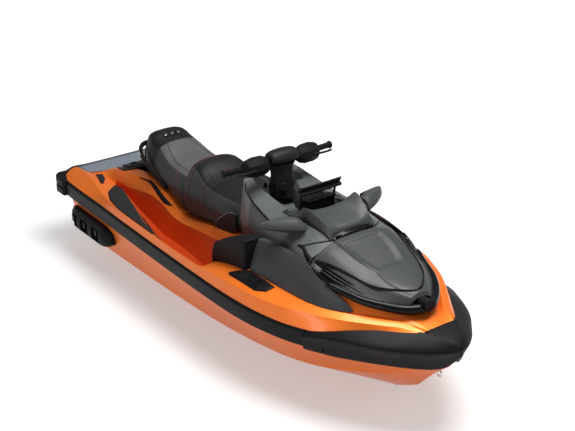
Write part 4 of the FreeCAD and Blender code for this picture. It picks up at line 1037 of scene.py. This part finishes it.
# x, high z, low z
LIP = [(0, 884, 862), (50, 882, 861), (100, 876, 856), (138, 862, 846)]
rows = [[(x, -794, high), (x, -806, high - 8), (x, -838, low + 3), (x, -842, low - 22)]
        for x, high, low in LIP]
on_lid(mirror(skin(rows)), "cowl_front_slot", gloss_black, rise=UP, smooth=1)
print("cowl", len(cowl.data.polygons))

# %% [markdown]
# ## Gauge, deflector and mirrors
# The gauge is a dark lens in a hood of its own, and a blunt pod stands between it and the bars. A short
# deflector blade stands on two stays above it. Flat plates are quickest as outlines pushed through by a
# depth; the blade and the pod change along their length, so they are closed skins.

# %% Gauge surround and deflector
bezel = block([(-122, -592, 884), (-146, -474, 884), (146, -474, 884), (122, -592, 884)], (0, 0, 6))
top = max(bezel.faces, key=lambda f: f.calc_center_median().z)
bmesh.ops.inset_region(bezel, faces=[top], thickness=0.016, depth=0)
bmesh.ops.translate(bezel, verts=list(top.verts), vec=(0, 0, -0.004))
on_lid(bezel, "gauge_bezel", moulded_black, bevel=2)
sides = [block([(x, -466, 886), (x, -466, 958), (x + 8, -466, 958), (x + 8, -466, 886)], (0, -66, 0))
         for x in (-104, 96)]
roof = block([(-104, -462, 950), (-104, -548, 966), (104, -548, 966), (104, -462, 950)], (0, 0, 7))
on_lid(join(roof, *sides), "gauge_hood", moulded_black, bevel=2)
# the blade's lower lip, face, ledge and top edge as (y, z), then where it stands at each x
BLADE = [(-502, 1020), (-540, 1012), (-546, 1026), (-526, 1034), (-540, 1062), (-532, 1067), (-508, 1040)]
rows = [[(x, y + aft, z) for y, z in BLADE]
        for x, aft in ((-150, 6), (-146, 0), (-70, -3), (70, -3), (146, 0), (150, 6))]
on_lid(skin(rows, closed=True, ends=True), "wind_shield", moulded_black, instead="wind_deflector", bevel=2)
stays = [tube([(side * 118, -500, 900), (side * 122, -502, 960), (side * 132, -504, 1020)], [11, 9, 7],
              sides=8) for side in (-1, 1)]
on_lid(join(*stays), "shield_stays", moulded_black, smooth=1)
# y, half-breadth, low z, high z
POD = [(-346, 58, 912, 1012), (-364, 72, 892, 1032), (-402, 84, 880, 1022), (-436, 92, 884, 1002),
       (-462, 92, 890, 972)]
rows = [[(-half, y, low), (-half, y, high - 34), (-half + 20, y, high), (half - 20, y, high),
         (half, y, high - 34), (half, y, low)] for y, half, low, high in POD]
gauge_pod = skin(rows, closed=True, ends=True)
crease(gauge_pod, lines={range(6): 0.7}, stations={(0, 1, 4): 0.7})
on_lid(gauge_pod, "gauge_pod", satin_grey, bevel=3)
print("gauge surround done")

# %% [markdown]
# The mirror housings are streamlined: rounded ahead, flat behind where the glass sits. They are skins of
# closed sections that run from the cowl outwards. One section in fractions does for every station, because
# `boxed` stretches it to each station's own front, rear, low and high.

# %% Mirror housings
# x, front y, rear y, low z, high z
MIRROR = [(204, -680, -630, 866, 906), (234, -684, -620, 860, 914), (238, -696, -606, 846, 938),
          (268, -692, -596, 850, 952), (310, -676, -580, 858, 955), (372, -640, -558, 873, 948),
          (420, -598, -541, 889, 938), (448, -562, -534, 900, 930), (457, -548, -532, 904, 924)]
POD_SECTION = [(1, 0.06), (0.70, 0), (0.28, 0.12), (0, 0.42), (0.10, 0.66), (0.42, 0.94), (0.78, 1),
               (1, 0.95)]
mirror_pod = skin(boxed(MIRROR, POD_SECTION), closed=True, ends=True)
crease(mirror_pod, lines={(0, 3, 5, 7): 0.85, (1, 6): 0.5}, stations={(0, 1, 2, 7, 8): 0.9})
pods = on_lid(mirror(mirror_pod), "mirror_pods", satin_grey, instead="mirror_housings", smooth=2)
print("mirror pods", len(pods.data.polygons))

# %% [markdown]
# ## Seats
# The seat comes in two moulded foam pieces under vinyl: a deep front saddle with a bolster behind the
# rider, and a passenger seat that climbs to a hump. The foam is stiff and the cover is stretched tight, so
# a cloth simulation would only blur the shape; the sections are drawn crowned, with sides that pull in
# towards the base, and smoothed. Piping, seams and stitches are then laid on the finished surface.

# %% Seat sections
# y, low z, then base x, side (x, z), shoulder (x, z), top (x, z), middle z
FRONT_SEAT = [
    (-52, 602, 98, (138, 655), (106, 728), (56, 744), 748),
    (-40, 600, 118, (160, 658), (122, 738), (70, 752), 757),
    (0, 590, 158, (196, 664), (148, 754), (92, 768), 775),
    (70, 580, 184, (217, 668), (172, 764), (114, 780), 788),
    (190, 568, 188, (227, 670), (188, 768), (130, 786), 793),
    (310, 548, 188, (232, 672), (194, 774), (138, 790), 797),
    (380, 530, 188, (235, 676), (192, 790), (136, 806), 812),
    (425, 520, 188, (237, 680), (184, 806), (128, 826), 834),
    (465, 514, 188, (238, 686), (176, 828), (118, 850), 859),
    (505, 511, 188, (238, 688), (168, 840), (108, 863), 872),
    (545, 508, 188, (237, 688), (162, 844), (102, 867), 876),
    (574, 507, 186, (235, 682), (157, 838), (96, 860), 868),
    (588, 507, 180, (229, 674), (148, 824), (88, 846), 854),
]
REAR_SEAT = [
    (597, 509, 180, (228, 662), (178, 752), (116, 774), 780),
    (612, 516, 186, (232, 664), (182, 758), (118, 780), 787),
    (690, 558, 186, (231, 666), (180, 762), (116, 782), 789),
    (770, 590, 183, (227, 668), (176, 764), (114, 784), 790),
    (830, 612, 178, (220, 674), (170, 778), (110, 796), 803),
    (885, 613, 174, (212, 682), (160, 798), (106, 818), 825),
    (925, 613, 170, (206, 688), (153, 816), (102, 836), 843),
    (965, 612, 167, (200, 694), (146, 830), (97, 850), 857),
    (1000, 612, 164, (196, 699), (143, 838), (94, 858), 864),
    (1035, 611, 160, (190, 702), (139, 850), (91, 867), 872),
    (1062, 609, 154, (184, 704), (136, 866), (88, 882), 886),
    (1110, 604, 140, (166, 706), (130, 872), (84, 887), 890),
    (1140, 601, 126, (148, 706), (122, 862), (78, 879), 882),
    (1160, 600, 112, (130, 704), (112, 842), (72, 858), 862),
    (1171, 600, 98, (114, 698), (100, 806), (66, 824), 828),
]
PANEL_LINE = 5


def cushion(table, name, instead, covers, start, stop):
    """A seat from its sections. The first cover takes the sides. The second takes a panel inwards of one
    line and between two values of y, and the third takes all that lies behind the panel."""
    rows = []
    for y, low, base, side, shoulder, top, middle in table:
        halfway = (Vector(side) + Vector(shoulder)) / 2
        rows.append([(0, y, low), (base, y, low), ((base + side[0]) / 2 + 4, y, (low + side[1]) / 2 - 8),
                     (side[0], y, side[1]), (halfway.x + 5, y, halfway.y), (shoulder[0], y, shoulder[1]),
                     (top[0], y, top[1]), (0.5 * top[0], y, (top[1] + middle) / 2 + 1), (0, y, middle)])
    bm = close(mirror(skin(rows)))
    line = numbering(bm)[0]
    for face in bm.faces:
        inner = min(v[line] for v in face.verts) >= PANEL_LINE and len(face.verts) < 5
        middle = face.calc_center_median().y * 1000
        face.material_index = 2 if middle > stop else 1 if inner and middle > start else 0
    crease(bm, lines={(1,): 0.5, (5,): 0.3}, stations={(0, len(table) - 1): 0.3})
    seat = finish(bm, name, covers[0], slot="seat_vinyl", instead=instead, smooth=2)
    for cover in covers[1:]:
        seat.data.materials.append(cover)
    return seat


front_seat = cushion(FRONT_SEAT, "seat_saddle", "seat_front", (vinyl_side, vinyl, vinyl_side), -40, 560)
rear_seat = cushion(REAR_SEAT, "seat_passenger", "seat_rear", (vinyl_side, vinyl_pale, vinyl), 600, 965)
print("seats", len(front_seat.data.polygons), len(rear_seat.data.polygons))

# %% [markdown]
# Piping and stitching follow the covers. A line of points is pulled onto the nearest place of the
# finished seat; piping is a thin round bar along it, and stitches are short rods set end to end with gaps.

# %% Piping and stitches
def cling(target, points, lift, step):
    """Points along a line, moved onto the nearest place of a surface, in millimetres from the keel."""
    fine = []
    for a, b in zip(points, points[1:]):
        count = max(1, int((Vector(b) - Vector(a)).length / step))
        fine += [Vector(a).lerp(Vector(b), k / count) for k in range(count)]
    tree = surface_of(target)
    return [nearest(tree, point, lift) for point in fine + [points[-1]]]


def stitches(target, lines, name):
    """Rows of short thread stitches along lines on a surface."""
    length, gap, radius = 7, 5, 0.0009
    bm = new_mesh()
    for points in lines:
        track = [Vector(point) for point in cling(target, points, 0.6, length + gap)]
        for start, stop in zip(track, track[1:]):
            turn = (stop - start).normalized().to_track_quat("Z", "Y").to_matrix().to_4x4()
            if (stop - start).length > 2:
                bmesh.ops.create_cone(bm, cap_ends=True, segments=5, radius1=radius, radius2=radius,
                                      depth=length / 1000,
                                      matrix=Matrix.Translation(place(*start.lerp(stop, 0.5))) @ turn)
    return finish(mirror(bm), name, thread, fold=80)


def welt(target, lines, name, radius=2.2, both=True, **others):
    """Piping along lines on a surface."""
    tracks = [cling(target, points, 0.2, 16) for points in lines]
    bm = join(*[tube(track, [radius] * len(track), sides=6) for track in tracks])
    return finish(mirror(bm) if both else bm, name, piping, smooth=1, **others)


def shifted(points, x, y, z):
    """A line of points beside another."""
    return [(a + x, b + y, c + z) for a, b, c in points]


saddle_edge = [(60, -48, 745), (92, 0, 768), (116, 70, 780), (134, 190, 786), (142, 310, 790),
               (138, 380, 806), (128, 425, 834), (116, 465, 862)]
bolster_seam = [(228, 330, 640), (214, 350, 735), (190, 378, 790), (150, 392, 812), (80, 398, 816),
                (0, 400, 817)]
bolster_rear = [(232, 500, 560), (238, 506, 690), (200, 520, 800), (160, 528, 860), (100, 532, 884),
                (0, 534, 893)]
bolster_end = [(234, 566, 560), (237, 566, 690), (190, 566, 810), (150, 566, 862), (96, 566, 880),
               (0, 566, 888)]
rear_top = [(140, 604, 790), (142, 690, 792), (138, 770, 794), (128, 830, 812), (114, 885, 838),
            (104, 930, 866), (80, 962, 884), (40, 972, 892), (0, 974, 895)]
rear_side = [(226, 640, 560), (230, 650, 664), (200, 700, 770), (150, 720, 792)]
rear_waist = [(228, 660, 664), (224, 800, 672), (212, 885, 682), (196, 990, 697)]
welt(front_seat, [saddle_edge, bolster_seam, bolster_rear], "saddle_piping")
stitches(front_seat, [shifted(bolster_rear, 5, 6, -3), shifted(bolster_seam, 0, 7, 0), bolster_end],
         "saddle_stitches")
welt(rear_seat, [rear_top], "passenger_piping")
stitches(rear_seat, [shifted(rear_top, 6, 0, -2), rear_side, rear_waist], "passenger_stitches")
print("seams sewn")

# %% [markdown]
# ## Handlebar group
# Everything the rider's hands touch rides on the steering body. Rubber grips have moulded rings, so their
# bar is extruded with a radius that steps up and down; a bump texture would leave the outline smooth.

# %% Grips
def on_bars(bm, name, material, **others):
    """A piece that turns with the handlebar."""
    return finish(bm, name, material, body="steering", **others)


# distance from the middle, and radius
RINGS = [ring for k in range(13) for ring in
         ((284 + 8.4 * k, 16.2), (286.2 + 8.4 * k, 18.4), (289.4 + 8.4 * k, 18.4))]
GRIP = [(272, 24), (277, 24.5), (281, 19)] + RINGS + [(395, 19), (397, 23.5), (402, 24), (405, 21)]
BAR_START, BAR_SPAN = 110, 290
along = [(x, (x - BAR_START) / BAR_SPAN) for x, radius in GRIP]
grip = tube([(x, -165 + 45 * t, 1088 - 15 * t) for x, t in along], [radius for x, radius in GRIP], sides=18)
grips = on_bars(mirror(grip), "ribbed_grips", soft_rubber, instead="grips", fold=50)
print("grips", len(grips.data.polygons))

# %% [markdown]
# The switch housings are chunky faceted mouldings with small buttons, and thin levers reach out ahead of
# the grips. The housings stay unsmoothed, and a narrow bevel catches the light along their edges.

# %% Switch housings and levers
# x, front y, rear y, low z, high z
HOUSING = [(104, -178, -134, 1058, 1108), (116, -198, -120, 1040, 1126), (150, -208, -108, 1032, 1139),
           (214, -208, -104, 1031, 1140), (262, -196, -106, 1036, 1128), (282, -174, -112, 1048, 1108),
           (290, -156, -120, 1060, 1096)]
HOUSING_SECTION = [(0, 0.34), (0.16, 0), (0.78, 0.04), (1, 0.34), (0.96, 0.74), (0.70, 1), (0.34, 1),
                   (0.06, 0.72)]
housing = skin(boxed(HOUSING, HOUSING_SECTION), closed=True, ends=True)
housing = on_bars(mirror(housing), "switch_boxes", moulded_black, instead="switch_housings", bevel=3)
buttons = [block([(176, -136, 1128), (176, -156, 1130), (204, -156, 1129), (204, -136, 1127)], (0, 0, 5)),
           block([(186, -103, 1084), (186, -103, 1102), (208, -102, 1102), (208, -102, 1084)], (0, -8, 0)),
           block([(226, -102, 1076), (226, -102, 1096), (246, -102, 1096), (246, -102, 1076)], (0, -10, 0))]
on_bars(mirror(join(*buttons)), "switch_buttons", satin_light, bevel=1.5)
lever = tube([(214, -188, 1082), (226, -206, 1083), (252, -214, 1083), (290, -213, 1081), (326, -207, 1079),
              (345, -200, 1078), (352, -198, 1078)], [9, 9, 7.5, 7, 7, 8, 7], sides=10)
on_bars(mirror(lever), "hand_levers", bar_black, instead="levers", smooth=1)
print("switch housings", len(housing.data.polygons))

# %% [markdown]
# The column cover is a moulded neck that narrows towards the bar; the pad above it is a soft domed
# cushion over the clamp.

# %% Column cover and bar pad
# height, half-breadth, front y, rear y
NECK = [(853, 78, -258, -114), (876, 84, -268, -110), (905, 80, -258, -102), (940, 72, -246, -100),
        (985, 62, -234, -102), (1012, 66, -226, -102), (1036, 84, -218, -102), (1064, 96, -216, -102),
        (1070, 96, -214, -104)]
rows = [[(-half, rear - 26, z), (-half + 24, rear, z), (half - 24, rear, z), (half, rear - 26, z),
         (half, front + 46, z), (0.42 * half, front, z), (-0.42 * half, front, z), (-half, front + 46, z)]
        for z, half, front, rear in NECK]
neck = skin(rows, closed=True, ends=True)
crease(neck, lines={(4, 5, 6, 7): 0.65}, stations={(0, 1, 6, 8): 0.8})
neck = on_bars(neck, "column_neck", moulded_black, instead="column_cover", smooth=2)
collar = block([(-62, -232, 968), (-78, -250, 930), (-40, -266, 925), (-34, -246, 972)], (0, 6, 0))
tab = block([(-74, -112, 905), (-96, -104, 905), (-96, -104, 936), (-80, -110, 940)], (0, -9, 0))
on_bars(join(collar, tab), "column_tab", gloss_black, bevel=2)
# x, front y, rear y, low z, high z
PAD = [(-106, -190, -130, 1098, 1130), (-98, -214, -110, 1080, 1146), (-64, -226, -98, 1074, 1156),
       (0, -229, -96, 1072, 1159)]
PAD_SECTION = [(0, 0.40), (0.12, 0), (0.88, 0), (1, 0.40), (0.84, 0.92), (0.50, 1), (0.16, 0.90)]
whole_pad = PAD + [(-x, *others) for x, *others in PAD[-2::-1]]
bar_cushion = skin(boxed(whole_pad, PAD_SECTION), closed=True, ends=True)
crease(bar_cushion, lines={(0, 3): 0.3})
bar_cushion = on_bars(bar_cushion, "bar_cushion", vinyl_black, instead="bar_pad", smooth=2)
pad_seam = [(-101, -160, 1122), (-92, -208, 1122), (-60, -222, 1122), (0, -228, 1122), (60, -222, 1122),
            (92, -208, 1122), (101, -160, 1122)]
welt(bar_cushion, [pad_seam], "bar_cushion_seam", radius=1.6, both=False, body="steering")
print("neck and pad", len(neck.data.polygons), len(bar_cushion.data.polygons))

# %% [markdown]
# ## Behind the seats
# A moulded shell closes the back of the passenger seat, three fittings sit on its shoulder, and a broad
# grab handle sweeps round it from flank to flank. The handle is drawn as a closed section that follows
# its path; a smoothed skin gives it the soft, thick look of structural foam.

# %% Seat back, fittings and handle
# height, half-breadth, front y, rear y
SEAT_BACK = [(592, 110, 1176, 1204), (640, 122, 1176, 1222), (700, 126, 1176, 1228), (752, 120, 1175, 1226),
             (784, 106, 1173, 1214), (792, 98, 1173, 1200)]
rows = [[(-half, front, z), (-half, rear - 26, z), (-0.7 * half, rear, z), (0.7 * half, rear, z),
         (half, rear - 26, z), (half, front, z)] for z, half, front, rear in SEAT_BACK]
shell = skin(rows, closed=True, ends=True)
crease(shell, lines={(2, 3): 0.6}, stations={(0, 5): 0.6})
finish(shell, "seat_back_shell", moulded_black, instead="seat_back", smooth=2)
seat_tree = surface_of(rear_seat)
cups, heads = new_mesh(), new_mesh()
# piece, sides, foot and top radius, length, height above the seat
FITTING = [(cups, 28, 0.021, 0.019, 0.010, 0), (heads, 24, 0.014, 0.010, 0.008, 0.005),
           (heads, 6, 0.006, 0.006, 0.016, 0.005)]
for x in (-50, 0, 50):
    spot, normal, face, gap = seat_tree.find_nearest(place(x, 1030, 900))
    turn = Matrix.Translation(spot) @ normal.to_track_quat("Z", "Y").to_matrix().to_4x4()
    for bm, sides, foot, top, length, height in FITTING:
        bmesh.ops.create_cone(bm, cap_ends=True, segments=sides, radius1=foot, radius2=top, depth=length,
                              matrix=turn @ Matrix.Translation((0, 0, height)))
finish(cups, "seat_fitting_cups", gloss_black, fold=30)
finish(heads, "seat_fitting_heads", stainless, fold=30)

# outer x and y, inner x and y, middle height
HANDLE = [(222, 792, 206, 790, 634), (227, 812, 206, 812, 642), (233, 880, 210, 878, 662),
          (235, 950, 211, 946, 684), (228, 1020, 204, 1012, 706), (216, 1080, 193, 1068, 724),
          (200, 1136, 178, 1122, 742), (176, 1186, 156, 1166, 757), (144, 1222, 130, 1198, 765),
          (104, 1243, 98, 1219, 768), (50, 1246, 48, 1222, 768), (0, 1246, 0, 1222, 768)]
FRONT_END = 0.9
# how far in from the outer line, and how far above the middle
ARM = [(0, -9), (0, 9), (0.3, 18), (0.75, 18), (1, 9), (1, -9), (0.75, -18), (0.3, -18)]
arm = skin([[(ox + t * (ix - ox), oy + t * (iy - oy), z + up) for t, up in ARM]
            for ox, oy, ix, iy, z in HANDLE], closed=True)
close(arm, lambda edge: min(v.co.y for v in edge.verts) < FRONT_END)
handle = finish(mirror(arm), "grab_handle_bar", moulded_black, instead="grab_handle", smooth=2)
plate = block([(203, 1112, 728), (194, 1142, 736), (194, 1142, 760), (203, 1112, 752)], (6, 3, 0))
finish(mirror(plate), "handle_plates", plate_silver, bevel=1.2)
foot = block([(204, 786, 612), (226, 786, 612), (226, 838, 628), (204, 838, 628)], (0, 0, 16))
finish(mirror(foot), "handle_feet", moulded_black, bevel=4)
print("handle", len(handle.data.polygons))

# %% [markdown]
# ## Rear hatch, stern trim and pedestal strips
# A polished hatch lies on the pedestal behind the seat, a black edge trim runs round the stern above the
# bumpers, and a recessed strip is let into each side of the pedestal. Ribbons such as these are drawn as
# pairs of points and pulled onto the nearest place of the deck.

# %% Hatch and ribbons
HATCH = [(-172, 1254), (-232, 1292), (-212, 1400), (-196, 1460), (196, 1460), (212, 1400), (232, 1292),
         (172, 1254)]
HATCH_PANEL = [(-150, 1300), (-190, 1318), (-178, 1396), (-166, 1432), (166, 1432), (178, 1396), (190, 1318),
               (150, 1300)]
FLAT_PART = 154
finish(drape(HATCH, on_deck, lift=9, grid=34, inset=10, least=FLAT_PART), "rear_hatch_lid", gloss_black,
       instead="rear_hatch", rise=UP, wall=12, fold=60)
finish(drape(HATCH_PANEL, on_deck, lift=13, grid=34, inset=12, least=FLAT_PART), "rear_hatch_panel",
       moulded_black, rise=UP, wall=5, fold=60)


def ribbon(target, pairs, lift, name, wall):
    """A dark band between pairs of points, pulled onto a surface."""
    tree = surface_of(target)
    between = [[Vector(a).lerp(Vector(b), t) for a, b in zip(start, stop)]
               for start, stop in zip(pairs, pairs[1:]) for t in (0, 0.25, 0.5, 0.75)]
    bm = skin([[nearest(tree, point, lift) for point in pair] for pair in between + [pairs[-1]]])
    return finish(mirror(bm), name, moulded_black, rise=UP, wall=wall, fold=50)


ribbon(deck, [((231, 1099, 596), (233, 1092, 592)), ((218, 1005, 605), (225, 991, 595)),
              ((216, 962, 610), (232, 939, 588)), ((230, 864, 595), (252, 832, 559)),
              ((238, 773, 567), (254, 758, 532)), ((237, 712, 544), (248, 715, 527)),
              ((238, 680, 534), (242, 686, 531))], 2.0, "pedestal_strips", 5)
EDGE = [(534, 1640, 474), (522, 1676, 474), (498, 1694, 477), (440, 1697, 498), (398, 1699, 512),
        (330, 1700, 501), (200, 1701, 500), (0, 1701, 500)]
OUTER_END = 0.1
rows = [[(x, y - 14, z + 7), (x, y - 4, z + 10), (x * 1.004, y + 6, z + 6), (x * 1.004, y + 8, z - 12),
         (x, y - 2, z - 40), (x, y - 16, z - 40)] for x, y, z in EDGE]
trim = close(skin(rows, closed=True), lambda edge: max(v.co.x for v in edge.verts) > OUTER_END)
finish(mirror(trim), "stern_edge_trim", moulded_black, slot="rubber_black", smooth=2)
print("hatch and trim done")

# %% [markdown]
# ## Console details
# A small dark panel with a pale edge closes the gap between the saddle and the console. Narrow dark seams
# part the console's upper moulding from its flank, and the hood from the console.

# %% Corner panels and seams
corner = block([(234, 236, 572), (225, 74, 722), (214, 22, 706), (216, 16, 600), (229, 130, 566)],
               (-22, 0, 0))
finish(mirror(corner), "saddle_corner_panels", vinyl, slot="black_plastic", bevel=5, steps=3)
bead([(236, 240, 570), (227, 76, 726), (216, 20, 712)], 7, 3.0, "saddle_corner_edges", satin_light)
ribbon(console, [((198, -74, 972), (203, -72, 962)), ((232, -108, 930), (236, -106, 920)),
                 ((261, -244, 890), (265, -244, 880)), ((278, -356, 870), (282, -356, 860)),
                 ((292, -432, 856), (296, -432, 846))], 2.0, "console_upper_seams", 3)
ribbon(console, [((300, -692, 814), (298, -702, 814)), ((276, -734, 820), (275, -743, 819)),
                 ((206, -792, 843), (204, -801, 842)), ((160, -820, 850), (158, -829, 850))],
       3.0, "hood_rear_seams", 4)
ribbon(console, [((293, -700, 816), (303, -698, 812)), ((284, -742, 818), (302, -740, 808)),
                 ((298, -788, 800), (318, -786, 786)), ((306, -832, 786), (330, -830, 768))],
       3.5, "hood_side_seams", 5)
print("details done")

# %% [markdown]
# ## Finishes of the CAD pieces that stay
# Machined and moulded parts whose CAD shape is already right keep it, and take a finish here. Their meshes
# are left alone; only the material in each slot changes.

# %% Finish the CAD pieces
KEPT = {
    "hull": gelcoat, "storage_bin": bin_black, "gauge": lens_black, "lid_hinges": moulded_black,
    "mirror_glasses": mirror_face, "handlebar": bar_black, "steering_stem": bar_black,
    "bow_eye": stainless, "stern_eyes": stainless, "accessory_sockets": moulded_black,
    "ride_plate": cast_alloy, "intake_grate": cast_alloy, "engine": engine_grey, "pump_housing": cast_alloy,
    "impeller": stainless, "trim_ring": cast_alloy, "steering_nozzle": cast_alloy,
    "reverse_gate": moulded_black,
}
for node, material in KEPT.items():
    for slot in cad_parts[node].material_slots:
        slot.material = material
print("dressed", len(KEPT), "CAD pieces")
